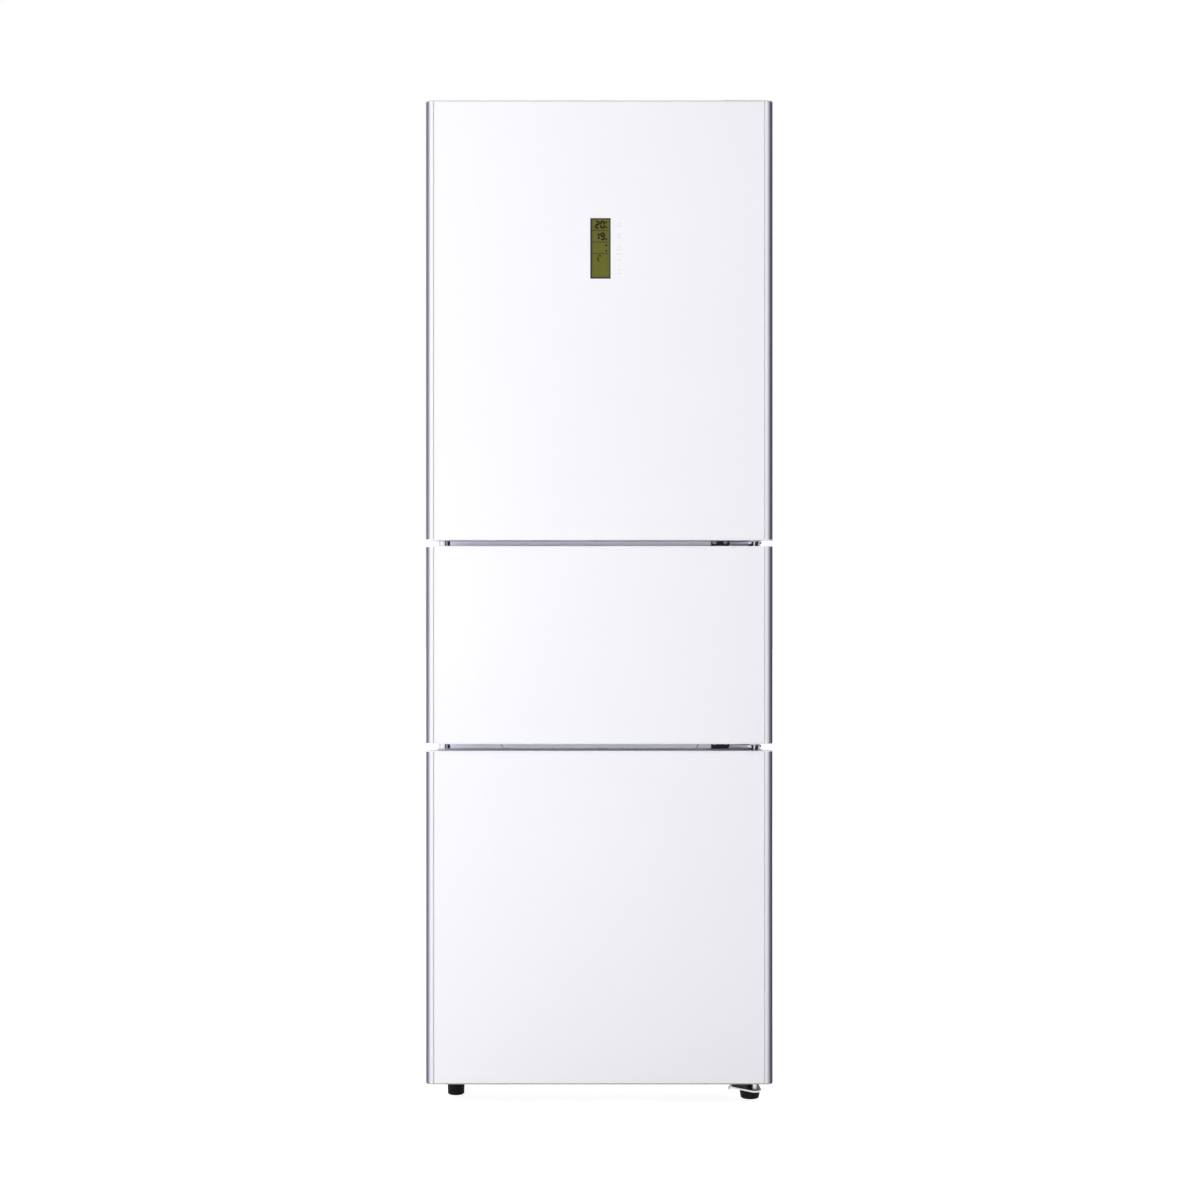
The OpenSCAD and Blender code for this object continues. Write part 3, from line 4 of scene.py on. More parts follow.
import bmesh
import bpy
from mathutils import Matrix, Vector


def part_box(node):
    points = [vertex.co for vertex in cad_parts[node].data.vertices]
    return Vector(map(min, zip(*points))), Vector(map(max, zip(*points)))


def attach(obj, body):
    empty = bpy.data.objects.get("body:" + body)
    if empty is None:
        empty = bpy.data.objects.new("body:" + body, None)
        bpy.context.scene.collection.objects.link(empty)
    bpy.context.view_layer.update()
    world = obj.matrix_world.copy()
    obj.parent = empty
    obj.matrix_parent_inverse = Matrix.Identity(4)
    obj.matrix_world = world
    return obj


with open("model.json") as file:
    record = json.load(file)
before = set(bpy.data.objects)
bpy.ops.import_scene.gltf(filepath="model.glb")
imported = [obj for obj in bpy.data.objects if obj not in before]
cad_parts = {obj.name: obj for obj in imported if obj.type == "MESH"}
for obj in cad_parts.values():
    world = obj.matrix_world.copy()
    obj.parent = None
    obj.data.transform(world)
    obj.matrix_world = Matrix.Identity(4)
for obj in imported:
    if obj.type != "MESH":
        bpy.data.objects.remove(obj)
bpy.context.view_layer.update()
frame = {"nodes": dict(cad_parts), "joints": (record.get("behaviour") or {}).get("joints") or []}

nodes = frame["nodes"]

# The photograph's view: square on, 3.3 m from the doors. Its pixels are read on the doors' faces.
EYE = Vector((0.0012, -3.62, 0.8793))
PIXELS_PER_METRE = 575.7
MIDDLE_COLUMN = 599.3
MIDDLE_ROW = 600


def seen_x(px):
    """The place across the doors' faces of a column of the photograph."""
    return (px - MIDDLE_COLUMN) / PIXELS_PER_METRE


def seen_z(py):
    """The height on the doors' faces of a row of the photograph."""
    return EYE.z + (MIDDLE_ROW - py) / PIXELS_PER_METRE


def gap_middle(upper, lower):
    """The height of the middle of the gap between two doors, from their panels."""
    return (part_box(upper)[0].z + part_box(lower)[1].z) / 2


# Places of the frame that finishes and pieces share
PANEL_LEFT_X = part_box("fridge_door_panel")[0].x
TRIM_OUTER_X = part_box("fridge_door_trims")[1].x
CASING_LO, CASING_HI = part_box("side_panel_right")
COVERS_LO, COVERS_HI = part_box("divider_covers")
BACK_LO, BACK_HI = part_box("back_panel")
UPPER_GAP_Z = gap_middle("fridge_door_panel", "middle_door_panel")
LOWER_GAP_Z = gap_middle("middle_door_panel", "freezer_door_panel")
door_swing = next(joint for joint in frame["joints"] if joint["name"] == "fridge_door_swing")
PIN_X, PIN_Y, _ = door_swing["pos_m"]

# Finishes


class Wire:
    """An output of a node. Arithmetic on it adds Math nodes."""

    def __init__(self, graph, socket):
        self.graph = graph
        self.socket = socket

    def maths(self, operation, *values):
        return self.graph.node("ShaderNodeMath", dict(enumerate(values)), operation=operation)

    def __add__(self, other):
        return self.maths("ADD", self, other)

    __radd__ = __add__

    def __sub__(self, other):
        return self.maths("SUBTRACT", self, other)

    def __rsub__(self, other):
        return self.maths("SUBTRACT", other, self)

    def __mul__(self, other):
        return self.maths("MULTIPLY", self, other)

    __rmul__ = __mul__

    def __abs__(self):
        return self.maths("ABSOLUTE", self)

    def __lt__(self, other):
        return self.maths("LESS_THAN", self, other)

    def __gt__(self, other):
        return self.maths("GREATER_THAN", self, other)

    def either(self, other):
        return self.maths("MAXIMUM", self, other)


class Graph:
    """The nodes of a finish or of the world."""

    def __init__(self, tree):
        self.tree = tree

    def node(self, kind, inputs=None, output=0, stops=None, **settings):
        """A new node. Its settings and a ramp's stops are set first, and then its sockets."""
        made = self.tree.nodes.new(kind)
        for name, value in settings.items():
            setattr(made, name, value)
        if stops:
            ramp = made.color_ramp.elements
            while len(ramp) < len(stops):
                ramp.new(0.5)
            for element, (position, colour) in zip(ramp, stops):
                element.position = position
                element.color = (*colour, 1)
        for key, value in (inputs or {}).items():
            self.join(made.inputs[key], value)
        return Wire(self, made.outputs[output])

    def join(self, socket, value):
        """Puts a wire, a colour or a number on a socket."""
        if isinstance(value, Wire):
            self.tree.links.new(value.socket, socket)
        elif isinstance(value, tuple) and len(value) == 3 and socket.type == "RGBA":
            socket.default_value = (*value, 1)
        else:
            socket.default_value = value

    def seen(self):
        """1 for rays from the camera and for those that gloss and glass send on, 0 for the others."""
        seen = self.node("ShaderNodeLightPath", output="Is Camera Ray")
        for ray in ("Is Glossy Ray", "Is Transmission Ray"):
            seen = seen.either(self.node("ShaderNodeLightPath", output=ray))
        return seen


class Finish(Graph):
    """A material made of nodes round one Principled shader."""

    def __init__(self, name, **constants):
        self.material = bpy.data.materials.new(name)
        self.material.use_nodes = True
        super().__init__(self.material.node_tree)
        self.shader = self.tree.nodes["Principled BSDF"]
        self.place = self.node("ShaderNodeTexCoord", output="Object")
        self.set(**constants)

    def set(self, **sockets):
        for name, value in sockets.items():
            self.join(self.shader.inputs[name.replace("_", " ")], value)

    def noise(self, scale, detail):
        """Grain with a value between 0 and 1."""
        inputs = {"Vector": self.place, "Scale": scale, "Detail": detail}
        return self.node("ShaderNodeTexNoise", inputs, output="Fac")

    def crystals(self, scale, output):
        """Small cells that fill the material."""
        return self.node("ShaderNodeTexVoronoi", {"Vector": self.place, "Scale": scale}, output=output)

    def blend(self, mask, colour_a, colour_b):
        inputs = {"Factor": mask, 6: colour_a, 7: colour_b}
        return self.node("ShaderNodeMix", inputs, output=2, data_type="RGBA")

    def fade(self, value, start, end, low=0.0, high=1.0):
        """A smooth change from low to high while the value goes from start to end."""
        inputs = {"Value": value, 1: start, 2: end, 3: low, 4: high}
        return self.node("ShaderNodeMapRange", inputs, interpolation_type="SMOOTHSTEP")

    def axes(self):
        made = self.node("ShaderNodeSeparateXYZ", {0: self.place}).socket.node
        return [Wire(self, made.outputs[i]) for i in range(3)]

    def bump(self, height, depth):
        return self.node("ShaderNodeBump", {"Height": height, "Distance": depth, "Strength": 1.0})


def times(share, colour):
    return tuple(share * c for c in colour)


def patch(x, z, at, size):
    """A mask that is 1 inside a rectangle on a front face."""
    inside_x = abs(x - at[0]) < size[0] / 2
    inside_z = abs(z - at[1]) < size[1] / 2
    return inside_x * inside_z


PRINT_GREY = (0.45, 0.45, 0.50)
PRINT_STRENGTH = 0.40


def lacquer(name, marks=()):
    """White baked lacquer on the doors, with a faint grey print where marks gives places and sizes."""
    f = Finish(name, Coat_Roughness=0.12)
    colour = f.blend(f.noise(scale=2.2, detail=3), (0.868, 0.865, 0.886), (0.902, 0.899, 0.916))
    if marks:
        x, _, z = f.axes()
        printed = patch(x, z, *marks[0])
        for mark in marks[1:]:
            printed = printed.either(patch(x, z, *mark))
        colour = f.blend(printed * PRINT_STRENGTH, colour, PRINT_GREY)
    f.set(
        Base_Color=colour,
        Roughness=0.30 + 0.06 * f.noise(scale=30, detail=2),
        Coat_Weight=0.22 + 0.08 * f.noise(scale=5, detail=1),
        Normal=f.bump(f.noise(scale=420, detail=2), depth=0.00002),
    )
    return f


def flaked_paint(name, light, dark, metallic, rough):
    """Paint with fine flakes."""
    f = Finish(name, Metallic=metallic)
    flakes = f.noise(scale=2600, detail=1)
    f.set(
        Base_Color=f.blend(flakes, dark, light),
        Roughness=rough - 0.04 + 0.10 * f.noise(scale=60, detail=2),
        Normal=f.bump(flakes, depth=0.00001),
    )
    return f


# The trims turn back to their grips over this stretch, in from their outer side, and painted shade darkens
# them there.
FLANK_SHADE_START = 0.0104
FLANK_SHADE_END = 0.0035
GROOVE_FROM_PANEL = 0.0011
GROOVE_HALF_WIDTH = 0.0007
GROOVE_SHADE_SHARE = 0.66


def grip_paint(name, face, side):
    """Silver paint on the doors' side trims, with painted shade where they turn back to the grips.

    The groove beside the panel has a painted shadow line at the left.
    """
    f = Finish(name, Specular_IOR_Level=0.1)
    x, _, _ = f.axes()
    flakes = f.noise(scale=2600, detail=1)
    # A painted shadow line darkens the groove beside the panel at the left.
    groove_shadow = abs(x - (PANEL_LEFT_X - GROOVE_FROM_PANEL)) < GROOVE_HALF_WIDTH
    front = f.blend(groove_shadow, f.blend(flakes, times(0.97, face), face), times(GROOVE_SHADE_SHARE, face))
    # Painted shade: the trims' flanks darken towards their outer side.
    flank_shade = f.fade(abs(x), TRIM_OUTER_X - FLANK_SHADE_START, TRIM_OUTER_X - FLANK_SHADE_END)
    f.set(
        Base_Color=f.blend(flank_shade, front, f.blend(flakes, times(0.94, side), side)),
        Roughness=0.44 + 0.08 * f.noise(scale=60, detail=2) + 0.06 * flank_shade,
        Normal=f.bump(flakes, depth=0.00001),
    )
    return f


# The casing's flanges have a painted highlight on their faces and painted shade along their hems.
FLANGE_DEPTH = 0.0004
HEM_DEPTH = 0.002
HEM_MIDDLE_X = CASING_HI.x - 0.0126
HEM_HALF_WIDTH = 0.0014
FLANGE_HIGHLIGHT = (0.96, 0.96, 0.97)
HEM_SHADE = (0.05, 0.045, 0.06)


def casing_paint(name, light, dark):
    """Powder coat with a slight hammered texture, a painted highlight on the flanges' faces and painted shade
    along their hems.
    """
    f = Finish(name, Metallic=0.25)
    pebble = f.noise(scale=520, detail=3)
    x, y, _ = f.axes()
    # A painted highlight lightens the flanges' faces.
    flange_highlight = y < CASING_LO.y + FLANGE_DEPTH
    # Painted shade darkens the slots along the hems.
    hem_shade = (abs(abs(x) - HEM_MIDDLE_X) < HEM_HALF_WIDTH) * (y < CASING_LO.y + HEM_DEPTH)
    colour = f.blend(flange_highlight, f.blend(f.noise(scale=4, detail=3), dark, light), FLANGE_HIGHLIGHT)
    f.set(
        Base_Color=f.blend(hem_shade, colour, HEM_SHADE),
        Roughness=0.42 + 0.12 * pebble,
        Normal=f.bump(pebble, depth=0.00008),
    )
    return f


SHADE_AND_REFLECTION_BLACK = (0.045, 0.042, 0.050)


def zinc(name, tone, crystals, dark=None, blue=1.03):
    """Galvanised steel with its crystals. Where dark gives a mask of the place, it is nearly black, which
    paints shade there and, round the middle hinges' pins, a dark reflection.
    """
    f = Finish(name, Metallic=0.9)
    grey = f.node("ShaderNodeSeparateColor", {0: f.crystals(crystals, "Color")})
    bright = (tone, tone, tone * blue)
    colour = f.blend(grey, times(0.90, bright), bright)
    if dark:
        # Painted shade, and round the pins a painted dark reflection, turns the masked place nearly black.
        colour = f.blend(dark(*f.axes()), colour, SHADE_AND_REFLECTION_BLACK)
    f.set(
        Base_Color=colour,
        Roughness=0.34 + 0.12 * grey,
        Normal=f.bump(f.noise(scale=240, detail=2), depth=0.00003),
    )
    return f


def moulded(name, light, dark, rough, grain=700, depth=0.00004, edge=None, edge_shade_tone=None, **constants):
    """Moulded plastic with a fine grain. Where edge gives a mask of the height, it has a painted shade line
    in the given tone.
    """
    f = Finish(name, **constants)
    colour = f.blend(f.noise(scale=6, detail=3), dark, light)
    if edge:
        # A painted shade line darkens the edge where the mask is given.
        colour = f.blend(edge(f.axes()[2]), colour, edge_shade_tone)
    f.set(
        Base_Color=colour,
        Roughness=rough - 0.05 + 0.1 * f.noise(scale=40, detail=2),
        Normal=f.bump(f.noise(scale=grain, detail=2), depth),
    )
    return f


def clear(name, tint, rough, through):
    """Clear plastic or glass."""
    f = Finish(name, IOR=1.49, Transmission_Weight=through)
    f.set(
        Base_Color=f.blend(f.noise(scale=8, detail=2), times(0.97, tint), tint),
        Roughness=rough + 0.04 * f.noise(scale=50, detail=2),
        Normal=f.bump(f.noise(scale=90, detail=2), depth=0.00003),
    )
    return f


def rubber(name, tone):
    f = Finish(name)
    f.set(
        Base_Color=f.blend(f.noise(scale=25, detail=3), times(0.8, tone), tone),
        Roughness=0.62 + 0.15 * f.noise(scale=120, detail=3),
        Normal=f.bump(f.noise(scale=900, detail=2), depth=0.00004),
    )
    return f


def enamel(name):
    """Thick black enamel of the compressor, with some dust."""
    f = Finish(name)
    dust = f.noise(scale=18, detail=5)
    f.set(
        Base_Color=f.blend(dust * 0.35, (0.012, 0.012, 0.013), (0.12, 0.115, 0.105)),
        Roughness=0.22 + 0.4 * dust,
        Coat_Weight=0.4 - 0.25 * dust,
        Normal=f.bump(f.noise(scale=160, detail=3), depth=0.00012),
    )
    return f


def copper(name):
    f = Finish(name, Metallic=1.0)
    tarnish = f.noise(scale=35, detail=4)
    f.set(
        Base_Color=f.blend(tarnish, (0.52, 0.22, 0.12), (0.86, 0.48, 0.33)),
        Roughness=0.25 + 0.3 * tarnish,
        Normal=f.bump(f.noise(scale=400, detail=2), depth=0.00003),
    )
    return f


def foam(name):
    f = Finish(name)
    cells = f.crystals(600.0, "Distance")
    f.set(
        Base_Color=f.blend(f.noise(scale=14, detail=4), (0.72, 0.62, 0.34), (0.86, 0.78, 0.50)),
        Roughness=0.85 + 0.1 * cells,
        Normal=f.bump(cells, depth=0.0003),
    )
    return f


def plain_ink(name, tone, rough):
    """Flat print or film that hardly shines."""
    f = Finish(name, Specular_IOR_Level=0.12)
    f.set(
        Base_Color=f.blend(f.noise(scale=300, detail=2), times(0.85, tone), tone),
        Roughness=rough + 0.05 * f.noise(scale=200, detail=1),
    )
    return f


# Faint marks beside the display, in the photograph's pixels: the row and the width of each
MARK_COLUMN = 619
MARK_HEIGHT = 0.7
MARK_ROWS = [(223.3, 3.2), (226.2, 5.6), (234.5, 3.0), (237.2, 5.0), (247.0, 3.4),
             (249.6, 5.8), (254.1, 6.2), (260.1, 3.4), (269.8, 3.2), (273.4, 4.6)]
touch_marks = [((seen_x(MARK_COLUMN), seen_z(row)), (wide / PIXELS_PER_METRE, MARK_HEIGHT / PIXELS_PER_METRE))
               for row, wide in MARK_ROWS]

# The highest and the lowest edge of the doors have a thin painted olive shade line.
CAP_LIGHT = (0.88, 0.88, 0.92)
CAP_DARK = (0.84, 0.84, 0.88)
CAP_ROUGH = 0.42
EDGE_SHADE_LINE = 0.0016


def top_edge_shade(z):
    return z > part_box("fridge_door_caps")[1].z - EDGE_SHADE_LINE


def low_edge_shade(z):
    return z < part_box("freezer_door_caps")[0].z + EDGE_SHADE_LINE


# The upper face of the bottom hinge's plate is nearly black with painted shade.
PLATE_TOP_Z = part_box("bottom_hinge")[0].z + 0.008
PLATE_SKIN = 0.0002


def plate_top_shade(x, y, z):
    # Painted shade on the plate's upper face.
    return abs(z - PLATE_TOP_Z) < PLATE_SKIN


# The middle hinges' flanges are nearly black up to their arms, partly their own dark finish and partly
# painted shade. The arms' tips round the pins are painted dark as a painted reflection, apart from two
# painted glints, each given by its place from the pin and half its width.
ARM_LEFT_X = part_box("upper_middle_hinge")[0].x + 0.0315
TIP_RADIUS = 0.0128
TIP_LEFT = -0.0065
PAINTED_GLINTS = ((-0.0012, 0.0012), (0.0072, 0.0009))


def flange_shade_and_pin_reflection(x, y, z):
    across = x - PIN_X
    along = y - PIN_Y
    # The dark tip round the pin is a painted reflection, broken by two painted glints.
    pin_reflection = (across * across + along * along < TIP_RADIUS ** 2) * (across > TIP_LEFT)
    for place, half_width in PAINTED_GLINTS:
        pin_reflection = pin_reflection * (abs(across - place) > half_width)
    # Left of the arm the flange is nearly black: its own dark finish with painted shade.
    return (x < ARM_LEFT_X).either(pin_reflection)


door_white = lacquer("door_lacquer")
display_door = lacquer("display_door_lacquer", touch_marks)
trim_silver = grip_paint("silver_trim_paint", face=(0.86, 0.86, 0.88), side=(0.152, 0.150, 0.215))
cap_grey = moulded("door_cap_plastic", CAP_LIGHT, CAP_DARK, CAP_ROUGH)
top_cap_grey = moulded("top_door_cap_plastic", CAP_LIGHT, CAP_DARK, CAP_ROUGH,
                       edge=top_edge_shade, edge_shade_tone=(0.58, 0.60, 0.52))
low_cap_grey = moulded("low_door_cap_plastic", CAP_LIGHT, CAP_DARK, CAP_ROUGH,
                       edge=low_edge_shade, edge_shade_tone=(0.28, 0.31, 0.23))
casing_silver = casing_paint("casing_powder_coat", light=(0.62, 0.62, 0.65), dark=(0.55, 0.55, 0.59))
cover_plastic = moulded("cover_plastic", light=(0.66, 0.66, 0.68), dark=(0.60, 0.60, 0.62),
                        rough=0.5, grain=520, depth=0.00008)
divider_paint = flaked_paint("divider_paint", light=(0.86, 0.86, 0.98), dark=(0.82, 0.82, 0.97),
                             metallic=0.0, rough=0.50)
galvanised = zinc("galvanised_sheet", tone=0.62, crystals=110.0)
hinge_steel = zinc("hinge_steel", tone=0.70, crystals=400.0)
bottom_hinge_steel = zinc("bottom_hinge_steel", tone=0.78, crystals=400.0, dark=plate_top_shade)
middle_hinge_steel = zinc("middle_hinge_steel", tone=0.80, crystals=400.0, dark=flange_shade_and_pin_reflection, blue=1.16)
screw_zinc = zinc("screw_zinc", tone=0.72, crystals=900.0)
liner_white = moulded("liner_polystyrene", light=(0.84, 0.85, 0.865), dark=(0.81, 0.82, 0.84),
                      rough=0.38, grain=300, depth=0.00002)
shelf_glass = clear("shelf_glass", tint=(0.86, 0.95, 0.92), rough=0.03, through=0.96)
drawer_clear = clear("drawer_polystyrene", tint=(0.84, 0.90, 0.94), rough=0.14, through=0.78)
gasket_grey = rubber("gasket_vinyl", tone=(0.62, 0.62, 0.64))
foot_black = moulded("foot_plastic", light=(0.008, 0.008, 0.009), dark=(0.005, 0.005, 0.006),
                     rough=0.6, Specular_IOR_Level=0.1)
mount_rubber = rubber("mount_rubber", tone=(0.02, 0.02, 0.02))
coil_white = flaked_paint("coil_paint", light=(0.80, 0.81, 0.82), dark=(0.70, 0.71, 0.73),
                          metallic=0.3, rough=0.38)
lamp_cover = moulded("lamp_cover", light=(0.95, 0.94, 0.90), dark=(0.90, 0.89, 0.85), rough=0.3)
display_dark = plain_ink("display_border", tone=(0.040, 0.034, 0.062), rough=0.30)
lcd_olive = plain_ink("lcd_olive", tone=(0.136, 0.138, 0.024), rough=0.22)
lcd_ink = plain_ink("lcd_ink", tone=(0.006, 0.007, 0.005), rough=0.35)
lcd_line = plain_ink("lcd_line", tone=(0.050, 0.040, 0.018), rough=0.35)
clip_black = plain_ink("clip_plastic", tone=(0.035, 0.032, 0.042), rough=0.45)

DRESS = {
    door_white: ["middle_door_panel", "freezer_door_panel"],
    display_door: ["fridge_door_panel"],
    trim_silver: ["fridge_door_trims", "middle_door_trims", "freezer_door_trims"],
    cap_grey: ["middle_door_caps", "top_hinge_cover"],
    top_cap_grey: ["fridge_door_caps"],
    low_cap_grey: ["freezer_door_caps"],
    casing_silver: ["side_panel_left", "side_panel_right"],
    cover_plastic: ["top_cover", "control_box"],
    divider_paint: ["divider_covers"],
    galvanised: ["back_panel", "base_plate", "compressor_plate"],
    hinge_steel: ["top_hinge"],
    bottom_hinge_steel: ["bottom_hinge"],
    middle_hinge_steel: ["upper_middle_hinge", "lower_middle_hinge"],
    liner_white: ["fridge_liner", "middle_liner", "freezer_liner", "shelf_trims",
                  "fridge_door_liner", "middle_door_liner", "freezer_door_liner"],
    shelf_glass: ["shelf_upper", "shelf_middle", "crisper_cover"],
    drawer_clear: ["bin_upper", "bin_lid", "bin_middle", "bin_lower", "crisper_drawer", "middle_drawer",
                   "freezer_drawer_upper", "freezer_drawer_middle", "freezer_drawer_lower"],
    gasket_grey: ["fridge_door_gasket", "middle_door_gasket", "freezer_door_gasket"],
    foot_black: ["foot_left", "foot_right", "roller_left", "roller_right", "start_relay", "drip_tray"],
    mount_rubber: ["compressor_mounts"],
    coil_white: ["evaporator"],
    lamp_cover: ["interior_light"],
    display_dark: ["display_unit"],
    enamel("compressor_enamel"): ["compressor"],
    copper("pipe_copper"): ["refrigerant_pipes"],
    foam("insulation_foam"): ["insulation_foam", "fridge_door_foam", "middle_door_foam",
                              "freezer_door_foam"],
}
for finish, names in DRESS.items():
    for name in names:
        materials = nodes[name].data.materials
        materials.clear()
        materials.append(finish.material)

# Modelling helpers


def clear_selection():
    bpy.ops.object.select_all(action="DESELECT")


def take(piece):
    """Selects one piece alone and makes it active."""
    clear_selection()
    piece.select_set(True)
    bpy.context.view_layer.objects.active = piece


def round_edges(piece, wanted, width, segments):
    """Bevels the edges of a piece whose two ends lie where wanted(place) is true."""
    take(piece)
    bpy.ops.object.mode_set(mode="EDIT")
    mesh = bmesh.from_edit_mesh(piece.data)
    for elements in (mesh.verts, mesh.edges, mesh.faces):
        for element in elements:
            element.select = False
    for edge in mesh.edges:
        if all(wanted(end.co) for end in edge.verts):
            edge.select_set(True)
    bmesh.update_edit_mesh(piece.data)
    bpy.ops.mesh.bevel(offset=width, segments=segments)
    bpy.ops.object.mode_set(mode="OBJECT")


def settle(piece, name, finish, body):
    """Names a finished piece, puts its place into its mesh and lets it ride on its body."""
    take(piece)
    bpy.ops.object.transform_apply(location=True, rotation=True, scale=True)
    piece.name = name
    piece.data.name = name
    piece.data.materials.clear()
    piece.data.materials.append(finish.material)
    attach(piece, body)


def joined(pieces):
    clear_selection()
    for piece in pieces:
        piece.select_set(True)
    bpy.context.view_layer.objects.active = pieces[0]
    bpy.ops.object.join()
    return bpy.context.object


def block(lo, hi, bevel=0.0, segments=1):
    """A block between two corners, with its edges bevelled where a bevel is given."""
    clear_selection()
    lo, hi = Vector(lo), Vector(hi)
    bpy.ops.mesh.primitive_cube_add(size=1, location=(lo + hi) / 2)
    piece = bpy.context.object
    piece.scale = hi - lo
    bpy.ops.object.transform_apply(location=False, rotation=False, scale=True)
    if bevel:
        bpy.ops.object.mode_set(mode="EDIT")
        bpy.ops.mesh.select_all(action="SELECT")
        bpy.ops.mesh.bevel(offset=bevel, segments=segments)
        bpy.ops.object.mode_set(mode="OBJECT")
    return piece


# Display: the cell on the window, its lines, its digits and its small signs. Columns, rows and
# widths are in the photograph's pixels.
WINDOW_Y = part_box("display_unit")[0].y
SCREEN_FRONT_Y = WINDOW_Y - 0.00025
SMALL_BEVEL = 0.0001
SIGN_THICKNESS = 0.0001
LINE_THICKNESS = 0.00008
CELL_LEFT, CELL_RIGHT = 592.3, 609.5
CELL_TOP, CELL_LOW = 219.4, 277.0
LINE_LEFT, LINE_RIGHT = 591.8, 608.6
LINE_ROWS = (230.4, 242.1, 253.7)
LINE_HALF_HEIGHT = 0.42
BAR_WIDTH = 1.75
BAR_POINT = 0.45
BAR_GAP = 0.12
DIGIT_BARS = {"0": "abcdef", "1": "bc", "2": "abged", "9": "abcdfg"}

# Each digit's number, left edge, top edge, width and height
DIGITS = [("2", 595.7, 221.6, 3.1, 6.3), ("0", 600.9, 221.6, 3.4, 6.3),
          ("1", 595.5, 233.2, 3.2, 6.2), ("9", 600.9, 233.2, 3.4, 6.2)]

# Round dots by row and radius, and small signs of five corners, each corner by its column and by
# how far it lies below the sign's row. A dot or an arc has ten points.
ARC_POINTS = 10
DOT_COLUMN = 606.3
DOTS = [(222.2, 0.95), (245.3, 1.05)]
SIGN_ROWS = (227.2, 239.0, 250.6)
SIGN_CORNERS = [(605.2, 1.0), (606.0, -1.2), (606.6, -0.2), (607.3, -0.4), (607.2, 1.0)]

# The moon's outer and inner arc by middle, radii, start and step in degrees, and the wedge over it
MOON_ARCS = [((599.4, 258.9), (2.3, 2.6), 100, 16), ((600.1, 258.7), (1.9, 2.0), 236, -14)]
WEDGE_CORNERS = [(597.8, 255.2), (601.4, 255.4), (600.2, 257.0)]


def flat_sign(corners, thickness=SIGN_THICKNESS):
    """A thin plate on the screen with the given corners."""
    clear_selection()
    bpy.ops.mesh.primitive_circle_add(vertices=len(corners), fill_type="NGON", radius=0.01)
    piece = bpy.context.object
    for vertex, (px, py) in zip(piece.data.vertices, corners):
        vertex.co = Vector((seen_x(px), SCREEN_FRONT_Y, seen_z(py)))
    bpy.ops.object.mode_set(mode="EDIT")
    bpy.ops.mesh.select_all(action="SELECT")
    bpy.ops.mesh.extrude_region_move(TRANSFORM_OT_translate={"value": (0, -thickness, 0)})
    bpy.ops.mesh.select_all(action="SELECT")
    bpy.ops.mesh.normals_make_consistent(inside=False)
    bpy.ops.object.mode_set(mode="OBJECT")
    return piece


def arc(middle, radii, start, step):
    """Points on an arc that starts at an angle and goes on by steps, both in degrees."""
    angles = [math.radians(start + step * k) for k in range(ARC_POINTS)]
    return [(middle[0] + radii[0] * math.cos(a), middle[1] + radii[1] * math.sin(a)) for a in angles]


def segment(x0, y0, x1, y1):
    """One bar of a digit, pointed at both ends."""
    along = Vector((x1 - x0, y1 - y0)).normalized() * BAR_WIDTH / 2
    side = Vector((-along.y, along.x))
    along *= BAR_POINT
    a, b = Vector((x0, y0)), Vector((x1, y1))
    corners = [a, a + along + side, b - along + side, b, b - along - side, a + along - side]
    return flat_sign([(c.x, c.y) for c in corners])


def digit(number, left, top, wide, high):
    """A seven-bar digit."""
    right, low, middle = left + wide, top + high, top + high / 2
    bars = {
        "a": (left + BAR_GAP, top, right - BAR_GAP, top),
        "b": (right, top + BAR_GAP, right, middle - BAR_GAP),
        "c": (right, middle + BAR_GAP, right, low - BAR_GAP),
        "d": (left + BAR_GAP, low, right - BAR_GAP, low),
        "e": (left, middle + BAR_GAP, left, low - BAR_GAP),
        "f": (left, top + BAR_GAP, left, middle - BAR_GAP),
        "g": (left + BAR_GAP, middle, right - BAR_GAP, middle),
    }
    return [segment(*bars[bar]) for bar in DIGIT_BARS[number]]


cell = block((seen_x(CELL_LEFT), SCREEN_FRONT_Y, seen_z(CELL_LOW)),
             (seen_x(CELL_RIGHT), WINDOW_Y, seen_z(CELL_TOP)), SMALL_BEVEL)
settle(cell, "display_cell", lcd_olive, "fridge_door")

signs = []
for number, left, top, wide, high in DIGITS:
    signs += digit(number, left, top, wide, high)
for row, radius in DOTS:
    signs.append(flat_sign(arc((DOT_COLUMN, row), (radius, radius), 0, 360 / ARC_POINTS)))
for row in SIGN_ROWS:
    signs.append(flat_sign([(column, row + below) for column, below in SIGN_CORNERS]))
signs.append(flat_sign([point for bow in MOON_ARCS for point in arc(*bow)]))
signs.append(flat_sign(WEDGE_CORNERS))
settle(joined(signs), "display_digits", lcd_ink, "fridge_door")

lines = []
for row in LINE_ROWS:
    top, low = row - LINE_HALF_HEIGHT, row + LINE_HALF_HEIGHT
    corners = [(LINE_LEFT, top), (LINE_RIGHT, top), (LINE_RIGHT, low), (LINE_LEFT, low)]
    lines.append(flat_sign(corners, LINE_THICKNESS))
settle(joined(lines), "display_lines", lcd_line, "fridge_door")

# Screws: a pan head with a cross recess, modelled once and copied. Its rounding and its cross are
# given in shares of the head's radius and height.
HEAD_RADIUS = 0.0042
HEAD_HEIGHT = 0.0022
HEAD_ROUNDING = 0.6
CROSS_REACH = 0.62
CROSS_HALF_WIDTH = 0.13
CROSS_FLOOR = 0.45


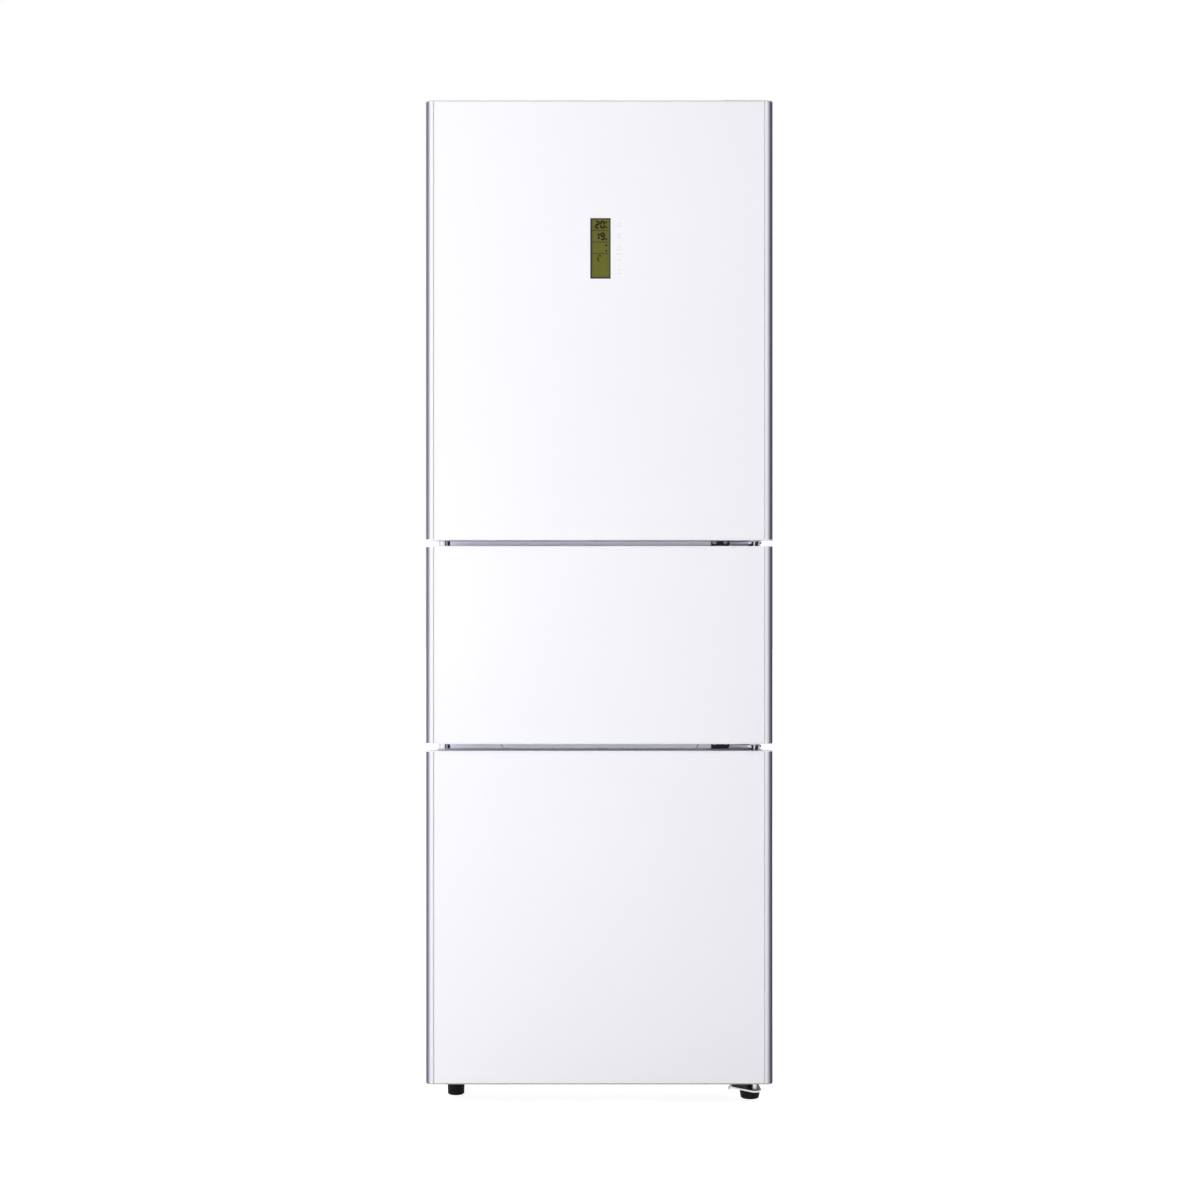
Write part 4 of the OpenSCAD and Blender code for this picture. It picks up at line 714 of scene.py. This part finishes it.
def pan_head():
    """A screw head that faces -Y with its seat at the origin."""
    clear_selection()
    bpy.ops.mesh.primitive_cylinder_add(vertices=24, radius=HEAD_RADIUS, depth=HEAD_HEIGHT,
                                        location=(0, -HEAD_HEIGHT / 2, 0), rotation=(math.pi / 2, 0, 0))
    head = bpy.context.object
    bpy.ops.object.transform_apply(location=True, rotation=True, scale=True)
    round_edges(head, lambda place: place.y < -HEAD_HEIGHT * 0.99,
                width=HEAD_HEIGHT * HEAD_ROUNDING, segments=4)
    reach = HEAD_RADIUS * CROSS_REACH
    half_width = HEAD_RADIUS * CROSS_HALF_WIDTH
    for turn in (0, math.pi / 2):
        arm = block((-reach, -HEAD_HEIGHT * 1.5, -half_width),
                    (reach, -HEAD_HEIGHT * CROSS_FLOOR, half_width))
        arm.rotation_euler = (0, turn, 0)
        take(head)
        cut = head.modifiers.new("recess", "BOOLEAN")
        cut.operation = "DIFFERENCE"
        cut.object = arm
        bpy.ops.object.modifier_apply(modifier=cut.name)
        bpy.data.objects.remove(arm)
    take(head)
    bpy.ops.object.shade_smooth_by_angle(angle=math.radians(35))
    return head


def copies(model, places, turn=(0, 0, 0)):
    made = []
    for place in places:
        piece = model.copy()
        piece.data = model.data.copy()
        bpy.context.collection.objects.link(piece)
        piece.location = place
        piece.rotation_euler = turn
        made.append(piece)
    return made


screw_model = pan_head()

# Three screws hold each middle hinge's plate. They lie a little above the middle of the gap, at these
# distances from the plate's left end.
HINGE_SCREWS = (0.0062, 0.0257, 0.0600)
SCREWS_ABOVE_MIDDLE = 0.0038
HINGE_PLATE = 0.003
for hinge, gap_z in (("upper_middle_hinge", UPPER_GAP_Z), ("lower_middle_hinge", LOWER_GAP_Z)):
    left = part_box(hinge)[0].x
    places = [(left + across, COVERS_LO.y - HINGE_PLATE, gap_z + SCREWS_ABOVE_MIDDLE)
              for across in HINGE_SCREWS]
    settle(joined(copies(screw_model, places)), hinge + "_screws", screw_zinc, "cabinet")

# Screws round the back panel face backwards: six along each side, two more at the top and two below.
BACK_INSET = 0.012
BACK_MIDDLE_X = 0.06
BACK_ROWS = 6
rise = (BACK_HI.z - BACK_LO.z - 2 * BACK_INSET) / (BACK_ROWS - 1)
rows = [BACK_LO.z + BACK_INSET + rise * i for i in range(BACK_ROWS)]
places = [(side * (BACK_HI.x - BACK_INSET), BACK_HI.y, row) for side in (-1, 1) for row in rows]
places += [(side * BACK_MIDDLE_X, BACK_HI.y, row) for side in (-1, 1) for row in (rows[0], rows[-1])]
back_screws = joined(copies(screw_model, places, turn=(0, 0, math.pi)))
settle(back_screws, "back_panel_screws", screw_zinc, "cabinet")
bpy.data.objects.remove(screw_model)

# Bolts through the compressor's rubber mounts. Each part is given by its number of sides, its radius,
# how high above the mounts it begins, and its thickness.
WASHER = (32, 0.0085, 0.0, 0.0012)
NUT = (6, 0.0058, 0.0012, 0.0042)
STUD = (24, 0.0029, 0.0052, 0.0040)
BOLT_INSET = 0.010
BOLT_ROUNDING = 0.0005
mounts_lo, mounts_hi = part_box("compressor_mounts")
bolts = []
for x in (mounts_lo.x + BOLT_INSET, mounts_hi.x - BOLT_INSET):
    for y in (mounts_lo.y + BOLT_INSET, mounts_hi.y - BOLT_INSET):
        for sides, radius, begin, thick in (WASHER, NUT, STUD):
            clear_selection()
            bpy.ops.mesh.primitive_cylinder_add(vertices=sides, radius=radius, depth=thick,
                                                location=(x, y, mounts_hi.z + begin + thick / 2))
            bolts.append(bpy.context.object)
            round_edges(bolts[-1], lambda place: place.z > 0, width=BOLT_ROUNDING, segments=3)
settle(joined(bolts), "mount_bolts", screw_zinc, "cabinet")


def lead(points, radius):
    """A smooth wire through the points."""
    data = bpy.data.curves.new("lead", "CURVE")
    data.dimensions = "3D"
    data.bevel_depth = radius
    data.bevel_resolution = 3
    data.resolution_u = 6
    line = data.splines.new("NURBS")
    line.points.add(len(points) - 1)
    for point, place in zip(line.points, points):
        point.co = (*place, 1)
    line.use_endpoint_u = True
    line.order_u = 3
    piece = bpy.data.objects.new("lead", data)
    bpy.context.collection.objects.link(piece)
    take(piece)
    bpy.ops.object.convert(target="MESH")
    return bpy.context.object


# Wires from the relay to the roof of the machine compartment. The first is given by its place from the
# relay's corner, and the bends and the end by their places from where a wire leaves the relay's top.
WIRE_TONES = {"brown": (0.10, 0.035, 0.015), "blue": (0.02, 0.05, 0.30), "green": (0.05, 0.22, 0.04)}
WIRE_RADIUS = 0.0012
FIRST_WIRE = (0.014, 0.020)
WIRE_PITCH = 0.0026
WIRE_STAGGER = 0.003
WIRE_BENDS = [(0, 0, -0.002), (0, 0, 0.02), (-0.012, -0.012, 0.045), (-0.030, -0.028, 0.07)]
WIRE_END = (-0.030, -0.030)
ROOF_Z = BACK_LO.z - 0.0015
relay_lo, relay_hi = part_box("start_relay")
for i, (name, tone) in enumerate(WIRE_TONES.items()):
    x = relay_lo.x + FIRST_WIRE[0] + WIRE_PITCH * i
    y = relay_lo.y + FIRST_WIRE[1] + WIRE_STAGGER * (i % 2)
    points = [(x + across, y + back, relay_hi.z + up) for across, back, up in WIRE_BENDS]
    points.append((x + WIRE_END[0], y + WIRE_END[1], ROOF_Z))
    insulation = moulded(name + "_insulation", light=tone, dark=times(0.8, tone), rough=0.35)
    settle(lead(points, WIRE_RADIUS), name + "_wire", insulation, "cabinet")

# Two small clips on the lower divider's cover, each of two arms that meet in a point. A clip is given
# by its place and by the side to which it opens.
CLIPS = ((-0.1735, 1), (0.1755, -1))
CLIP_Y = COVERS_LO.y - 0.0001
CLIP_Z = LOWER_GAP_Z - 0.0005
ARM_SIZE = Vector((0.0012, 0.0011, 0.0060))
ARM_BEVEL = 0.0002
ARM_SHIFT = 0.0014
ARM_LEAN = 0.62
ARM_RISE = 0.0022
clips = []
for across, side in CLIPS:
    for way in (1, -1):
        arm = block(-ARM_SIZE / 2, ARM_SIZE / 2, ARM_BEVEL, 2)
        arm.rotation_euler = (0, ARM_LEAN * way * side, 0)
        arm.location = (across + ARM_SHIFT * side, CLIP_Y, CLIP_Z + ARM_RISE * way)
        clips.append(arm)
settle(joined(clips), "divider_clips", clip_black, "cabinet")

# Dark sheets in the slots between the divider covers' ends and the side panels' hems stand in for the shade
# there.
SHADE_SHEET_CLEARANCE = 0.00015
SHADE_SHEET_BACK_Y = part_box("insulation_foam")[0].y - 0.0001
SHADE_SHEET_FRONT_Y = SHADE_SHEET_BACK_Y - 0.0005
shade_sheet_ends = (COVERS_HI.x + SHADE_SHEET_CLEARANCE, CASING_LO.x - SHADE_SHEET_CLEARANCE)
half_cover = COVERS_HI.z - UPPER_GAP_Z
shade_sheets = []
for side in (-1, 1):
    left, right = sorted(side * end for end in shade_sheet_ends)
    for gap_z in (LOWER_GAP_Z, UPPER_GAP_Z):
        shade_sheets.append(block((left, SHADE_SHEET_FRONT_Y, gap_z - half_cover),
                           (right, SHADE_SHEET_BACK_Y, gap_z + half_cover), SMALL_BEVEL))
# These dark sheets are painted shade, not parts of the object.
settle(joined(shade_sheets), "divider_slot_shade", clip_black, "cabinet")

# Floor: pale where it is seen, and a little darker near the object, whose shadow it keeps
FLOOR_SIZE = 60
FLOOR_Z = -0.0002
DARKER_WITHIN = 1.0
FULL_WHITE_FROM = 4.5
NEAR_LEVEL = 0.78
floor_paint = Finish("floor", Roughness=0.9, Base_Color=(0.55, 0.55, 0.55), Emission_Strength=1.0)
away = floor_paint.node("ShaderNodeVectorMath", {0: floor_paint.place}, output="Value", operation="LENGTH")
lift = floor_paint.fade(away, DARKER_WITHIN, FULL_WHITE_FROM, low=NEAR_LEVEL)
floor_paint.set(Emission_Color=floor_paint.blend(floor_paint.seen() * lift, (0.0, 0.0, 0.0), (1.0, 1.0, 1.0)))
clear_selection()
bpy.ops.mesh.primitive_plane_add(size=FLOOR_SIZE, location=(0, 0, FLOOR_Z))
floor = bpy.context.object
floor.name = "floor"
floor.data.materials.append(floor_paint.material)

scene = bpy.context.scene
scene.view_settings.view_transform = "Standard"

# World: white where it is seen. Where it only sheds light, it is brightest high at the left behind
# the object, and dimmest low at the front right.
BRIGHTER_WAY = (-0.5, 0.6, 0.6)
LEVELS = [(0.05, (0.03, 0.03, 0.036)), (0.35, (0.06, 0.059, 0.072)), (0.65, (0.235, 0.23, 0.28)),
          (0.95, (0.60, 0.605, 0.66))]
studio = bpy.data.worlds.new("studio")
scene.world = studio
studio.use_nodes = True
sky = Graph(studio.node_tree)
direction = sky.node("ShaderNodeTexCoord", output="Generated")
lean = sky.node("ShaderNodeVectorMath", {0: direction, 1: BRIGHTER_WAY}, output="Value",
                operation="DOT_PRODUCT")
share = sky.node("ShaderNodeMapRange", {"Value": lean, "From Min": -1.0}, output="Result")
light = sky.tree.nodes["Background"]
sky.join(light.inputs["Color"], sky.node("ShaderNodeValToRGB", {0: share}, stops=LEVELS))
white = sky.node("ShaderNodeBackground", {"Color": (1.0, 1.0, 1.0)})
both = sky.node("ShaderNodeMixShader", {0: sky.seen(), 1: Wire(sky, light.outputs[0]), 2: white})
sky.join(sky.tree.nodes["World Output"].inputs["Surface"], both)


def lamp(name, place, target, size, power):
    """A soft lamp of the given width and height that faces its target and isn't mirrored by gloss."""
    data = bpy.data.lights.new(name, "AREA")
    data.shape = "RECTANGLE"
    data.size, data.size_y = size
    data.energy = power
    made = bpy.data.objects.new(name, data)
    scene.collection.objects.link(made)
    made.location = place
    made.rotation_euler = (Vector(target) - Vector(place)).to_track_quat("-Z", "Y").to_euler()
    made.visible_camera = False
    made.visible_glossy = False


# Lamps: the low ones stand at about the height of the gaps between the doors and light the dividers.
lamp("key", place=(-2.3, -3.0, 2.9), target=(0, -0.3, 1.0), size=(1.8, 1.8), power=57)
lamp("low_front", place=(-1.2, -4.4, 0.85), target=(0, -0.3, 0.9), size=(1.6, 0.45), power=36)
lamp("low_left", place=(-1.8, -3.6, 0.8), target=(0, -0.3, 0.8), size=(0.8, 0.5), power=31)
lamp("low_far_left", place=(-2.6, -2.3, 0.8), target=(0, -0.3, 0.8), size=(0.8, 0.5), power=17)
lamp("high_right", place=(1.3, -2.3, 3.3), target=(0.1, -0.3, 1.8), size=(0.8, 0.8), power=6)
lamp("rear_right", place=(1.6, 2.8, 2.6), target=(0, 0.3, 0.8), size=(2.0, 2.0), power=55)
lamp("rear_left", place=(-2.0, 2.4, 2.2), target=(0, 0.3, 0.8), size=(1.6, 1.6), power=35)

# Camera: at the photograph's eye, and level
camera_data = bpy.data.cameras.new("camera")
camera_data.lens = 57.0
camera_data.sensor_width = 36.0
camera = bpy.data.objects.new("camera", camera_data)
scene.collection.objects.link(camera)
camera.location = EYE
camera.rotation_euler = (math.pi / 2, 0, 0)
scene.camera = camera

bpy.context.view_layer.update()
